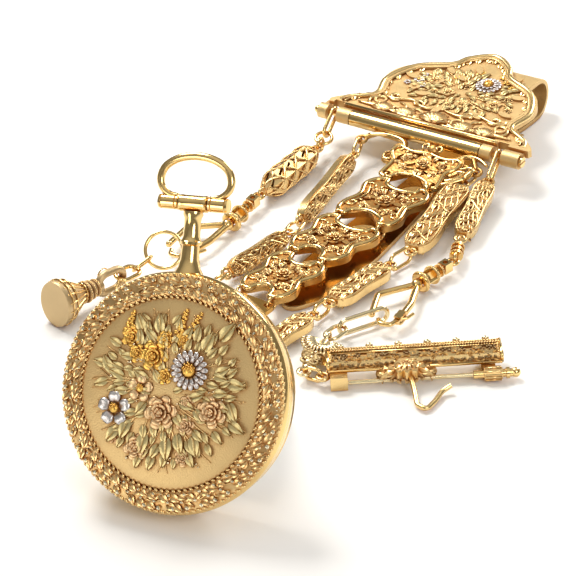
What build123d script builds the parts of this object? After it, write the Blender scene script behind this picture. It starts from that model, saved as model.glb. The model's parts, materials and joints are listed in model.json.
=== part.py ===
from build123d import *
import os
from math import cos, pi, radians, sin

# Sizes in millimetres. X runs along the hinge, Y from the watch up to the plate, Z up from the table
play = 0.20                     # free space left where two loose pieces meet
hinge_height = 7.8              # centre of the hinge pin above the table
hinge_left = -29.4              # outer ends of the hinge
hinge_right = 24.4
pin_radius = 0.65
barrel_radius = 1.9
left_loop_x = -25.7             # where the outer chains hang on the pin
right_loop_x = 18.6
plate_tilt = 4.5                # the plate rises towards its peak, in degrees
plate_thick = 1.2
plate_middle = -1.6             # the plate's middle line
barrel_left = -20.7             # ends of the long barrel
barrel_right = 14.3
tongue_middle = 4.2             # the belt hook's middle line
tongue_thick = 1.0
bend_back = 37.6                # furthest reach of the belt hook's bend
tongue_end = -69.0
plaque_height = 3.4             # middle of the lying plaques
plaque_thick = 1.0
frame_rise = 0.4                # the plaques' borders stand this much over their fields
eye_wire = 0.4                  # wire of the small rings and eyes
small_eye = 1.15                # radius of the side chains' eyes
bar_inset = 1.9                 # from a link's pulling point to the end of its bar
knuckle_gap = 0.12              # space between neighbouring knuckles of the hinge
loop_room = 1.4                 # half the space on the pin for each outer loop
watch_radius = 23.6
watch_place = (20.6, -133.6)    # the watch's centre over the table
watch_turn = 10.0               # how far its decorated side turns to the right
watch_lean = 30.9               # how far it leans back
watch_roll = 4.6                # how far its pendant leans to the left
bar_turn = 35.0                 # direction of the bar brooch over the table
bar_place = (40.1, -76.2)
bar_half = 18.4
bar_depth = 6.2
bar_low = 3.0
bar_high = 5.0

pieces = {}


def frame_at(origin, x_way, z_way):
    return Plane(origin=origin, x_dir=x_way, z_dir=z_way).location


def span(start, end, up=(0, 0, 1)):
    """Frame at start with X towards end and Z as near to up as it can be, and the distance."""
    way = Vector(*end) - Vector(*start)
    x_way = way.normalized()
    z_way = Vector(*up) - x_way * Vector(*up).dot(x_way)
    return frame_at(Vector(*start), x_way, z_way.normalized()), way.length


def ring(centre, normal, radius, wire):
    return Plane(origin=centre, z_dir=normal).location * Torus(radius, wire)


def rod(start, end, radius):
    place, length = span(start, end, (0.1, 0.2, 1))
    return place * Location((length / 2, 0, 0), (0, 90, 0)) * Cylinder(radius, length)


def hinge_rod(low_x, high_x, radius):
    return rod((low_x, 0, hinge_height), (high_x, 0, hinge_height), radius)


def lift(face, height):
    return extrude(face, height, dir=(0, 0, 1))


def oval(length, half_width, wire):
    """A wire loop in the XY plane, its centre line from x = 0 to x = length."""
    if length <= 2 * half_width + 0.8:
        return Location((length / 2, 0, 0)) * Torus(length / 2, wire)
    far_x = length - half_width
    path = Wire([Line((half_width, -half_width, 0), (far_x, -half_width, 0)),
                 ThreePointArc((far_x, -half_width, 0), (length, 0, 0), (far_x, half_width, 0)),
                 Line((far_x, half_width, 0), (half_width, half_width, 0)),
                 ThreePointArc((half_width, half_width, 0), (0, 0, 0), (half_width, -half_width, 0))])
    section = Plane(origin=(half_width, -half_width, 0), z_dir=(1, 0, 0)) * Circle(wire)
    return sweep(section, path=path)


def loop_link(start, end, up, half_width, wire):
    """A closed loop that pulls on its neighbours at start and at end."""
    place, length = span(start, end, up)
    reach = wire + play / 2
    return place * Location((-reach, 0, 0)) * oval(length + 2 * reach, half_width, wire)


def eyes(length, radius, wire, near_up=True, far_up=True):
    """The two end eyes of a stiff link that pulls at x = 0 and at x = length."""
    inset = radius - wire - play / 2
    near = Location((inset, 0, 0), (0 if near_up else 90, 0, 0)) * Torus(radius, wire)
    far = Location((length - inset, 0, 0), (0 if far_up else 90, 0, 0)) * Torus(radius, wire)
    return near + far


def bent_wire(points, bends, radius):
    path = FilletPolyline(*points, radius=bends)
    return sweep(Plane(origin=path @ 0, z_dir=path % 0) * Circle(radius), path=path)


def outline(points):
    """A closed smooth face through the right half's points and their mirror, top and bottom on x = 0."""
    left = [(-x, y) for x, y in reversed(points[1:-1])]
    return make_face(Spline(*(points + left), periodic=True))


def petal(length, width, height):
    """A pointed leaf from x = 0 to x = length, rising to height along its middle."""
    foot = make_face(ThreePointArc((0, 0), (length / 2, width / 2), (length, 0))
                     + ThreePointArc((length, 0), (length / 2, -width / 2), (0, 0)))
    return lift(foot, height)


def leaf(x, y, angle, length=3.2, width=1.3, height=0.45, base=0.0):
    return Location((x, y, base), (0, 0, angle)) * petal(length, width, height)


def flower(x, y, radius, petals, height=0.7, base=0.0):
    """A flower head: a round-petalled disc and a raised middle, as two solids."""
    step = 2 * pi / petals
    notch = 1.04 * radius / (sin(step / 2) + cos(step / 2))
    rim = []
    for number in range(petals):
        points = []
        for reach, turn in ((notch, number - 0.5), (radius, number), (notch, number + 0.5)):
            points.append((reach * cos(turn * step), reach * sin(turn * step)))
        rim.append(ThreePointArc(*points))
    disc = lift(make_face(rim), height * 0.6)
    middle = Location((0, 0, height / 2)) * Cone(radius * 0.45, radius * 0.25, height)
    return [Location((x, y, base)) * disc, Location((x, y, base)) * middle]


# Hook plate: moulded plate, raised rim, bouquet, knuckles, and the belt hook soldered behind it
plate_half = [(0, 37.0), (5.6, 33.6), (8.2, 29.6), (16.0, 25.2), (20.0, 17.2), (18.9, 10.0), (24.4, 6.0)]
hinge_corner = 27.2
front_edge = 2.35
field_middle = 14.0
# The bouquet's flowers as place, radius and petals, and its leaves as place and direction
plate_flowers = ((4.6, 24.0, 3.1, 10), (-8.0, 21.5, 2.0, 6), (-3.0, 18.0, 1.9, 5), (9.6, 17.4, 1.9, 6),
                 (2.6, 14.6, 1.8, 5), (-11.6, 16.8, 1.5, 5), (0, 7.2, 1.9, 5))
plate_leaves = ((0.4, 27.6, 120), (8.2, 27.0, 50), (11.6, 21.6, 10), (-1.6, 23.6, 150), (-12.4, 20.2, 165),
                (-6.0, 15.4, 200), (6.4, 12.2, -30), (12.2, 14.8, -15), (-0.8, 11.4, 250), (-5.4, 25.4, 140))


def plate_outline(share=1.0):
    """The plate's edge drawn to a share of its size: curved top and sides over a straight hinge edge."""
    spine = plate_half + [(hinge_corner, front_edge + 1.0)]
    right = [(x * share, field_middle + (y - field_middle) * share) for x, y in spine]
    left = [(-x, y) for x, y in reversed(right[1:])]
    end_x, end_y = right[-1]
    low_y = field_middle + (front_edge - field_middle) * share
    edge = Polyline((end_x, end_y), (end_x - 0.4, low_y), (0.4 - end_x, low_y), (-end_x, end_y))
    return make_face(Spline(*(left + right)) + edge)


def make_hook_plate():
    slab = lift(plate_outline(), plate_thick + 0.7)
    slab -= Location((0, 0, plate_thick)) * lift(plate_outline(0.9), 2)
    top = plate_thick - 0.05
    relief = []
    for x, y, size, count in plate_flowers:
        relief += flower(x, y, size, count, 0.9, top)
    for x, y, angle in plate_leaves:
        relief.append(leaf(x, y, angle, 4.2, 1.7, 0.6, top))
    for side in (-1, 1):
        for x, y, size in ((5.6, 6.6, 1.5), (11.4, 6.0, 1.2), (16.2, 8.6, 1.3)):
            relief.append(Location((side * x, y, top + 0.1)) * Torus(size, 0.42))
    plate = slab + relief
    plate = Location((plate_middle, 0, hinge_height - 0.3), (plate_tilt, 0, 0)) * plate
    # The plate stops short of the long barrel and of the two loops, and its knuckles reach the pin
    plate -= hinge_rod(barrel_left - knuckle_gap, barrel_right + knuckle_gap, barrel_radius + 0.25)
    for x in (left_loop_x, right_loop_x):
        plate -= Location((x, 0.4, hinge_height)) * Box(2 * loop_room - 0.04, 5.6, 8)
    added = [make_belt_hook()]
    knuckles = ((hinge_left, left_loop_x - loop_room),
                (left_loop_x + loop_room, barrel_left - knuckle_gap),
                (barrel_right + knuckle_gap, right_loop_x - loop_room),
                (right_loop_x + loop_room, hinge_right))
    for low_x, high_x in knuckles:
        added.append(hinge_rod(low_x, high_x, barrel_radius))
        middle = (low_x + high_x) / 2
        added.append(Location((middle, 2.0, hinge_height + 0.4)) * Box(high_x - low_x, 2.8, 1.2))
    plate += added
    return plate - hinge_rod(hinge_left - 1, hinge_right + 1, pin_radius + 0.06)


def make_belt_hook():
    """The long tongue: flat on the table, bent up at the back, soldered under the plate."""
    slope = radians(plate_tilt)
    top_low = hinge_height - 0.3 + 30 * sin(slope)
    outer = (top_low + 0.6) / 2
    centre_y = bend_back - outer
    outer_bend = Location((centre_y, outer, 0)) * Circle(outer)
    inner_bend = Location((centre_y, outer, 0)) * Circle(outer - tongue_thick)
    back = Location((centre_y + 10, outer, 0)) * Rectangle(20, 2 * outer)
    bend = (outer_bend - inner_bend) & back
    floor_length = centre_y - tongue_end
    floor_middle = tongue_end + floor_length / 2
    floor_strip = Location((floor_middle, tongue_thick / 2, 0)) * Rectangle(floor_length, tongue_thick)
    roof_strip = Location((centre_y - 3, 2 * outer - tongue_thick / 2, 0)) * Rectangle(6.2, tongue_thick)
    side = bend + floor_strip + roof_strip
    # The side view is drawn with the tongue's length along X and its height along Y
    strip = extrude(Plane(origin=(tongue_middle - 12, 0, 0), x_dir=(0, 1, 0), z_dir=(1, 0, 0)) * side, 24)
    widths = ((bend_back + 1, 7.8), (24, 7.2), (6, 4.8), (-16, 5.2), (-42, 6.9), (-60, 5.6),
              (tongue_end + 1.4, 2.4))
    right = [(tongue_middle + half, y) for y, half in widths]
    left = [(tongue_middle - half, y) for y, half in reversed(widths)]
    end = ThreePointArc(right[-1], (tongue_middle, tongue_end), left[0])
    plan = make_face(Spline(*right) + end + Spline(*left) + Line(left[-1], right[0]))
    return strip & lift(plan, 40)


def make_hinge_pin():
    pin = hinge_rod(hinge_left - 0.4, hinge_right, pin_radius)
    pin += hinge_rod(hinge_right + knuckle_gap, hinge_right + 0.7, 1.25)
    pin += hinge_rod(hinge_right - 0.5, hinge_right + 0.3, pin_radius)
    pin += Location((hinge_left - 0.75, 0, hinge_height)) * Sphere(0.95)
    return pin - Location((hinge_right + 0.75, 0, hinge_height)) * Box(0.5, 3, 0.35)


# Central drop: four pierced plaques, each hung on the one above by two rings
eye_reach = 1.55                # from an eye's middle to the middle of its ring


def plaque_face(half, top_apart, low_apart, width):
    top = top_apart / 2
    low = low_apart / 2
    return outline([(0, half - 1.9), (top, half + 1.2), (top + 1.5, half - 0.2), (width, half - 4.0),
                    (width - 1.7, 0), (width - 0.5, 4.2 - half), (low + 1.4, 0.3 - half),
                    (low, -1.2 - half), (0, 2.6 - half)])


def relief_plate(face, field, blooms, leaves, slits):
    """A plaque in its own frame: thick frame round a sunk field, flowers and leaves, slits cut through."""
    slab = Location((0, 0, -plaque_thick / 2)) * lift(face, plaque_thick + frame_rise)
    slab -= Location((0, 0, plaque_thick / 2)) * lift(field, 2)
    top = plaque_thick / 2 - 0.05
    relief = []
    for x, y, size, petals in blooms:
        relief += flower(x, y, size, petals, 0.4 + 0.25 * size, top)
    for x, y, angle in leaves:
        relief.append(leaf(x, y, angle, 2.9, 1.2, 0.5, top))
    cuts = [Location((x, y, -2), (0, 0, angle)) * lift(SlotOverall(2.1, 0.62), 5) for x, y, angle in slits]
    return (slab + relief) - cuts


def plaque_plate(half, top_apart, low_apart, width):
    blooms = [(0, 0.6, 2.5, 6), (-3.9, 3.1, 1.4, 5), (3.9, 3.2, 1.4, 5), (-3.3, -3.4, 1.4, 5),
              (3.4, -3.3, 1.4, 5)]
    leaves = [(2.2 * cos(radians(turn)), 0.6 + 2.2 * sin(radians(turn)), turn) for turn in (90, 180, 270, 0)]
    slits = [(-5.5, 0.2, 80), (5.5, 0.2, 100), (-1.7, -4.9, 20), (1.7, -4.9, -20), (-2.3, 5.3, 20),
             (2.3, 5.3, -20)]
    field = Location((0, 0.4, 0)) * Ellipse(width - 2.6, half - 2.6)
    return relief_plate(plaque_face(half, top_apart, low_apart, width), field, blooms, leaves, slits)


def pierce_eyes(body, points):
    for x, y in points:
        body -= Location((x, y, 0)) * Cylinder(0.78, 6)
    return body


plaque_rows = {
    "plaque_2": dict(x=2.7, y=-25.4, turn=-4.0, half=8.25, top=11.9, low=12.4, width=8.7),
    "plaque_3": dict(x=0.9, y=-44.7, turn=-8.0, half=7.75, top=12.4, low=9.6, width=8.3),
    "plaque_4": dict(x=-0.7, y=-63.2, turn=-5.0, half=7.75, top=9.6, low=8.6, width=7.3),
}
first_low = (3.05, -13.85, 3.75)     # middle of the first plaque's lower eyes
first_slope = 12.0


def row_place(row):
    return Location((row["x"], row["y"], plaque_height), (0, 0, row["turn"]))


def row_eye(row, which, side):
    apart = row[which] / 2
    height = row["half"] if which == "top" else -row["half"]
    return (row_place(row) * Location((side * apart, height, 0))).position


def make_lying_plaque(row):
    body = plaque_plate(row["half"], row["top"], row["low"], row["width"])
    points = [(side * row["top"] / 2, row["half"]) for side in (-1, 1)]
    points += [(side * row["low"] / 2, -row["half"]) for side in (-1, 1)]
    return row_place(row) * pierce_eyes(body, points)


def first_place():
    return Location(first_low, (first_slope, 0, 0))


def first_eye(side):
    return (first_place() * Location((side * 5.95, 0, 0))).position


arm_eyes = ((-18.4, 9.3), (12.9, 8.4))     # eyes of the first plaque's two arms, in its own frame


def make_first_plaque():
    """The sloping plaque: flower field below, two scroll arms and a finial up to the long barrel."""
    face = outline([(0, 10.2), (4.4, 9.4), (8.6, 10.4), (9.3, 7.4), (7.4, 4.6), (7.5, 0.6), (5.95, -1.25),
                    (0, 2.2)])
    blooms = [(0.2, 6.2, 2.1, 6), (-4.4, 7.0, 1.3, 5), (4.5, 7.0, 1.3, 5), (-4.0, 3.3, 1.3, 5),
              (4.2, 3.2, 1.3, 5)]
    leaves = [(0.2, 8.0, 95), (-1.6, 5.6, 200), (2.0, 5.6, -20)]
    slits = [(-2.1, 8.4, 60), (2.6, 8.4, 120), (-6.3, 5.3, 90), (6.3, 5.3, 90), (-2.0, 3.5, 20),
             (2.2, 3.5, -20)]
    body = relief_plate(face, Location((0, 5.6, 0)) * Ellipse(6.6, 3.6), blooms, leaves, slits)
    body = pierce_eyes(body, [(-5.95, 0), (5.95, 0)])
    added = []
    for way, eye in zip((-1, 1), arm_eyes):
        reach = eye[0] - way * 2.9
        tip = (eye[0] - way * 0.5, eye[1] + 0.9, 0)
        arm = [(way * 6.4, 9.0, 0), (way * 7.9, 12.0, 0.3), (reach, 12.4, 0.3), tip]
        added.append(bent_wire(arm, 0.9, 0.6))
        added.append(Location((eye[0], eye[1], 0)) * Torus(small_eye, 0.42))
    added.append(Location((6.6, 3.0, 0.2), (0, 0, 54)) * oval(7.2, 1.5, 0.5))
    added.append(Location((-8.8, 5.6, 0)) * Torus(1.3, 0.55))
    added.append(rod((0, 9.8, 0), (0, 12.8, 0.4), 0.9))
    added.append(Location((0, 11.4, 0.3)) * Sphere(1.5))
    body = first_place() * (body + added)
    body += hinge_rod(barrel_left + knuckle_gap, barrel_right - knuckle_gap, barrel_radius)
    return body - hinge_rod(barrel_left - 1, barrel_right + 1, pin_radius + 0.08)


def make_plaque_ring(upper, lower):
    middle = (upper + lower) * 0.5
    way = lower - upper
    normal = way.cross(Vector(0, 0, 1)).normalized()
    return ring(middle, normal, way.length / 2, eye_wire - 0.08)


def make_central_drop():
    pieces["plaque_1"] = make_first_plaque()
    for name, row in plaque_rows.items():
        pieces[name] = make_lying_plaque(row)
    rows = list(plaque_rows.values())
    number = 0
    for place, row in enumerate(rows):
        for side in (-1, 1):
            above = first_eye(side) if place == 0 else row_eye(rows[place - 1], "low", side)
            number += 1
            pieces[f"plaque_ring_{number}"] = make_plaque_ring(above, row_eye(row, "top", side))
    last = rows[-1]
    turn = radians(last["turn"])
    down = Vector(sin(turn), -cos(turn), 0)
    holder_eyes = []
    for side in (-1, 1):
        upper = row_eye(last, "low", side)
        lower = upper + down * (2 * eye_reach)
        number += 1
        pieces[f"plaque_ring_{number}"] = make_plaque_ring(upper, lower)
        holder_eyes.append(lower)
    middle = (holder_eyes[0] + holder_eyes[1]) * 0.5
    place = Plane(origin=middle, x_dir=down, z_dir=(0, 0, 1)).location
    apart = (holder_eyes[1] - holder_eyes[0]).length
    plate = Location((1.1, 0, 0)) * Box(4.4, apart + 3.0, 1.0)
    plate = fillet(plate.edges().filter_by(Axis.Z), 1.3)
    plate -= Location((0, apart / 2, 0)) * Cylinder(0.8, 4)
    plate -= Location((0, -apart / 2, 0)) * Cylinder(0.8, 4)
    hook = [(2.6, 0, 0), (7.0, 0, 0), (13.0, 3.4, 0), (17.0, 0, 0), (13.6, -3.0, 0)]
    pieces["drop_hook"] = place * (plate + bent_wire(hook, 1.6, 0.8))


# Side chains
def carved_bar(length, width, thick, ridges):
    """A flat shaped bar between two eyes, with slanting raised waves on both faces."""
    low = bar_inset
    high = length - bar_inset
    half = width / 2
    right = [(low, half * 0.42), (low + 1.2, half * 0.78), (low + 3.2, half), ((low + high) / 2, half * 0.9),
             (high - 3.2, half), (high - 1.2, half * 0.78), (high, half * 0.42)]
    left = [(x, -y) for x, y in reversed(right)]
    face = make_face(Spline(*right) + Line(right[-1], left[0]) + Spline(*left) + Line(left[-1], right[0]))
    bar = Location((0, 0, -thick / 2)) * lift(face, thick)
    pitch = (high - low - 4.4) / (ridges - 1)
    waves = []
    for number in range(ridges):
        x = low + 2.2 + number * pitch
        for level, lean in ((thick / 2, 34), (-thick / 2, -34)):
            wave = Location((0, 0, 0), (90, 0, 0)) * Cylinder(0.42, half * 1.55)
            waves.append(Location((x, 0, level), (0, 0, lean)) * wave)
    return bar + waves


def bar_link(start, end, up, width, thick, ridges, near_up=True):
    place, length = span(start, end, up)
    return place * (carved_bar(length, width, thick, ridges) + eyes(length, small_eye, eye_wire, near_up))


def make_spindle(start, end):
    """Six-sided cage link with slots between its crossing wires."""
    place, length = span(start, end)
    stations = ((1.7, 0.9), (2.6, 1.5), (5.6, 3.2), (length - 5.6, 3.2), (length - 2.6, 1.5),
                (length - 1.7, 0.9))
    body = None
    for (x0, r0), (x1, r1) in zip(stations, stations[1:]):
        near = Plane(origin=(x0, 0, 0), z_dir=(1, 0, 0)) * RegularPolygon(r0, 6)
        far = Plane(origin=(x1, 0, 0), z_dir=(1, 0, 0)) * RegularPolygon(r1, 6)
        section = loft([near, far], ruled=True)
        body = section if body is None else body + section
    pitch = (length - 9.0) / 5
    slots = []
    for number in range(6):
        for side in (-1, 1):
            x = 4.5 + number * pitch + side * 0.35
            slots.append(Location((x, side * 1.0, -4), (0, 0, 20)) * lift(SlotOverall(2.5, 0.5), 8))
    body -= slots
    return place * (body + eyes(length, small_eye, eye_wire, far_up=False))


def swivel_piece(start, base, up):
    """Eye, block with a round hole, turned stem, and a cage whose collar holds the hook's neck."""
    place, length = span(start, base, up)
    back = length - 5.0
    eye = Location((small_eye - eye_wire - play / 2, 0, 0)) * Torus(small_eye, eye_wire)
    block = Location((3.2, 0, 0)) * Box(2.4, 2.3, 2.3) - Location((3.2, 0, 0)) * Cylinder(0.6, 4)
    added = [block, rod((1.6, 0, 0), (2.4, 0, 0), 0.72), rod((4.2, 0, 0), (back + 0.4, 0, 0), 0.75)]
    for low, high, radius in ((5.0, 5.6, 1.35), (6.4, 6.9, 1.2), (back, back + 0.9, 2.05)):
        added.append(rod((low, 0, 0), (high, 0, 0), radius))
    for side in (-1, 1):
        added.append(rod((back + 0.4, side * 1.7, 0), (length - 0.8, side * 1.7, 0), 0.42))
    collar = rod((length - 1.5, 0, 0), (length - 0.4, 0, 0), 2.35)
    collar = fillet(collar.edges(), 0.4) - rod((length - 2, 0, 0), (length, 0, 0), 1.2)
    return place * (eye + (added + [collar]))


nose = (15.2, -3.6, 0)          # swivel hook: end of its long arm, and the gate's pivot
pivot = (14.4, 2.6, 0)
gate_bore = 0.42
rivet = 0.36


def hook_body(chain_end, start, end):
    """The swivel hook: neck with a stop, an angled arm to the nose and a shorter arm to the gate's pivot."""
    place, _ = span(start, end)
    neck_place = place.inverse() * span(start, chain_end)[0]
    body = Location((0.7, 0, 0)) * Sphere(1.3)
    neck = [rod((0.2, 0, 0), (2.4, 0, 0), 0.8), rod((2.2, 0, 0), (2.9, 0, 0), 1.15)]
    added = [neck_place * part for part in neck]
    added.append(bent_wire([(0.6, -0.2, 0), (7.6, -5.9, 0), nose], 2.2, 0.72))
    added.append(Location(nose) * Sphere(0.78))
    added.append(bent_wire([(0.6, 0.2, 0), (8.2, 2.3, 0), (12.6, 2.6, 0)], 5.0, 0.82))
    cheek = Location((pivot[0] - 0.55, pivot[1], 0)) * Box(2.9, 1.7, 1.9)
    cheek += Location(pivot) * Cylinder(0.95, 1.9)
    cheek -= Location((pivot[0] + 0.1, pivot[1], 0)) * Box(3.2, 4, 0.96)
    return place * ((body + (added + [cheek])) + Location(pivot) * Cylinder(rivet, 1.9))


def hook_gate(start, end):
    """The sprung gate with its thumb tab, turning about the rivet."""
    place, _ = span(start, end)
    gate = Location(pivot) * Cylinder(0.8, 0.76)
    path = [(pivot[0] + 0.2, pivot[1] + 0.1, 0), (17.3, 2.0, 0), (17.9, -0.2, 0), (16.5, -1.3, 0)]
    strap = bent_wire(path, 0.9, 0.52)
    inner = Location((pivot[0] + 0.85, pivot[1], 0)) * Box(1.9, 1.3, 0.76)
    trimmed = strap - Location((pivot[0] - 0.2, pivot[1], 0)) * Box(3.0, 3, 3)
    bends = ((0, 0.35), (-1.0, 1.5), (-3.0, 1.9))
    tab = bent_wire([(pivot[0] + x, pivot[1] + y, 0) for x, y in bends], 0.6, 0.36)
    gate += inner + trimmed + tab
    gate -= Location(pivot) * Cylinder(gate_bore, 3)
    return place * gate


left_base = (-24.6, -47.8, 2.6)
left_tip = (-28.9, -65.0, 2.6)
right_base = (25.8, -49.6, 2.6)
right_tip = (26.9, -67.4, 2.6)
ring_centre = (-28.9, -67.6, 5.0)
ring_tilt = (0.38, -0.62, 0.68)
ring_radius = 4.15
seal_face = (-36.6, -98.0, 5.37)


def make_left_chain():
    pin_top = (left_loop_x, 0.52, hinge_height + 0.39)
    joints = [pin_top, (-25.3, -4.9, 4.7), (-24.6, -7.6, 3.9), (-24.9, -34.4, 3.25)]
    pieces["left_pin_loop"] = loop_link(joints[0], joints[1], (1, 0, 0.0), 1.35, 0.45)
    pieces["left_loop_ring"] = loop_link(joints[1], joints[2], (0, 0.3, 1), 2.0, eye_wire)
    pieces["left_ring_two"] = loop_link(joints[2], (-24.4, -9.6, 3.5), (1, 0.05, 0), 2.0, eye_wire)
    pieces["spindle_link"] = make_spindle((-24.4, -9.6, 3.5), joints[3])
    pieces["left_swivel"] = swivel_piece(joints[3], left_base, (0, 0, 1))
    pieces["left_hook"] = hook_body(joints[3], left_base, left_tip)
    pieces["left_gate"] = hook_gate(left_base, left_tip)


def make_seal_chain():
    """The big split ring on the left hook, a small ring, a bail and the seal lying on its side."""
    pieces["big_ring"] = ring(ring_centre, ring_tilt, ring_radius, 0.42)
    tilt = Vector(*ring_tilt).normalized()
    down = (Vector(-0.35, -1.0, 0) - tilt * tilt.dot(Vector(-0.35, -1.0, 0))).normalized()
    hang = Vector(*ring_centre) + down * (ring_radius - 0.42 - play / 2)
    bail_end = (-32.0, -74.6, 2.9)
    pieces["seal_ring"] = loop_link(tuple(hang), bail_end, tuple(tilt.cross(down)), 1.3, 0.36)
    pieces["seal_bail"] = loop_link(bail_end, (-32.6, -79.6, 3.4), (0.2, 0, 1), 1.75, 0.5)
    place, length = span((-32.6, -79.6, 3.4), seal_face, (0.1, 0, 1))
    stirrup = Location((-0.9, 0, 0), (90, 0, 0)) * oval(7.4, 2.5, 0.85)
    turned = [stirrup, rod((5.6, 0, 0), (7.6, 0, 0), 1.3)]
    for x, radius in ((6.9, 1.9), (8.4, 2.1), (9.8, 2.4)):
        turned.append(rod((x, 0, 0), (x + 0.8, 0, 0), radius))
    turned.append(rod((7.4, 0, 0), (10.6, 0, 0), 1.6))
    sections = []
    for share, radius in ((0.0, 2.0), (0.18, 2.3), (0.45, 3.6), (0.72, 4.9), (0.92, 5.3), (1.0, 5.2)):
        x = 10.3 + share * (length - 10.3)
        across = Plane(origin=(x, 0, 0), x_dir=(0, 1, 0), z_dir=(1, 0, 0))
        sections.append(across * Ellipse(radius * 0.88, radius))
    bell = loft(sections)
    pieces["seal"] = place * (bell + turned)


def make_inner_chains():
    left_eye = (first_place() * Location((arm_eyes[0][0], arm_eyes[0][1] - 0.7, 0))).position
    right_eye = (first_place() * Location((arm_eyes[1][0], arm_eyes[1][1] - 0.7, 0))).position
    left = [tuple(left_eye), (-14.8, -9.0, 3.9), (-11.4, -39.4, 2.3), (-10.4, -44.4, 2.4),
            (-13.7, -66.4, 2.4), (-14.2, -70.2, 2.3)]
    pieces["inner_left_ring_1"] = loop_link(left[0], left[1], (1, 0, 0), 1.5, eye_wire)
    pieces["inner_left_link_1"] = bar_link(left[1], left[2], (0.95, 0, 0.25), 4.6, 1.7, 6, near_up=False)
    pieces["inner_left_ring_2"] = loop_link(left[2], left[3], (-0.3, 0, 1), 1.9, eye_wire)
    pieces["inner_left_link_2"] = bar_link(left[3], left[4], (0.8, 0, 0.6), 4.4, 1.7, 4)
    pieces["inner_left_ring_3"] = loop_link(left[4], left[5], (-0.5, 0, 0.8), 1.8, eye_wire)
    right = [tuple(right_eye), (14.7, -9.2, 4.2), (17.7, -39.4, 2.4), (16.4, -45.0, 2.3), (12.7, -66.0, 2.3),
             (12.3, -70.4, 2.3), (9.0, -90.0, 2.3), (8.6, -93.6, 2.3)]
    pieces["inner_right_ring_1"] = loop_link(right[0], right[1], (1, 0, 0), 1.5, eye_wire)
    pieces["inner_right_link_1"] = bar_link(right[1], right[2], (0, 0, 1), 6.6, 1.8, 7)
    pieces["inner_right_ring_2"] = loop_link(right[2], right[3], (1, 0, 0.12), 1.8, eye_wire)
    pieces["inner_right_link_2"] = bar_link(right[3], right[4], (0, 0, 1), 6.0, 1.8, 5)
    pieces["inner_right_ring_3"] = loop_link(right[4], right[5], (1, 0, 0.1), 1.7, eye_wire)
    pieces["inner_right_link_3"] = bar_link(right[5], right[6], (0, 0, 1), 5.4, 1.7, 4)
    pieces["inner_right_ring_4"] = loop_link(right[6], right[7], (1, 0, 0.1), 1.6, eye_wire)


def make_right_chain():
    pin_top = (right_loop_x, 0.52, hinge_height + 0.39)
    joints = [pin_top, (19.3, -5.6, 4.4), (24.9, -29.6, 2.6), (28.2, -37.6, 2.6), (26.4, -42.6, 2.6)]
    pieces["right_pin_loop"] = loop_link(joints[0], joints[1], (1, 0, 0), 1.25, 0.45)
    pieces["leaf_link"] = bar_link(joints[1], joints[2], (0.1, 0.2, 1), 5.0, 2.0, 5)
    place, length = span(joints[2], joints[3], (1, 0.3, 0))
    knuckle = eyes(length, 1.25, 0.36)
    knuckle += rod((1.7, 0, 0), (length - 1.7, 0, 0), 0.85)
    for x in (2.6, 4.4, 6.0):
        knuckle += rod((x, 0, 0), (x + 0.9, 0, 0), 1.45)
    pieces["joint_piece"] = place * knuckle
    pieces["right_swivel"] = swivel_piece(joints[3], right_base, (0, 0, 1))
    pieces["right_hook"] = hook_body(joints[3], right_base, right_tip)
    pieces["right_gate"] = hook_gate(right_base, right_tip)


def make_shell_fob():
    """The paler links and the shell on the right hook, down to the ring that holds the bar brooch."""
    links = [(25.6, -63.5, 2.6), (20.3, -72.6, 2.5), (19.6, -76.6, 2.3), (21.9, -91.0, 2.2)]
    pieces["pale_link"] = loop_link(links[0], links[1], (9.1, -5.3, 0), 1.65, 0.5)
    pieces["pale_small_link"] = loop_link(links[1], links[2], (0, 0, 1), 1.6, 0.45)
    shell_eye = 1.2
    place, length = span(links[2], links[3], (0.1, -0.1, 1))
    shell = [eyes(length, shell_eye, 0.42, near_up=False), Location((5.2, 0, -0.5)) * Cone(3.9, 2.6, 1.6)]
    for number in range(11):
        turn = -75 + 15 * number
        rib = Location((2.6, 0, 0), (0, 90, 0)) * Cone(0.25, 0.62, 4.0)
        shell.append(Location((3.0, 0, 0.25), (0, 0, turn)) * rib)
    shell.append(rod((1.9, 0, -0.2), (length - 1.7, 0, -0.2), 1.0))
    for x, radius in ((9.6, 1.7), (11.2, 1.9), (12.6, 1.4)):
        shell.append(Location((x - 0.3, 0, -0.2)) * Sphere(radius * 0.8))
    pieces["shell_fob"] = place * (shell[0] + shell[1:])
    return (place * Location((length - shell_eye + 0.42 + play / 2, 0, 0))).position


# Bar brooch, in its own frame: X along the bar, Y towards its back, Z up
def bar_frame():
    return Location((bar_place[0], bar_place[1], 0), (0, 0, bar_turn))


pin_line = -5.0                 # the pin lies in front of the bar
pin_level = 1.5
catch_start = 11.9
catch_radius = 0.88


def pin_rod(low_x, high_x, radius):
    return rod((low_x, pin_line, pin_level), (high_x, pin_line, pin_level), radius)


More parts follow.
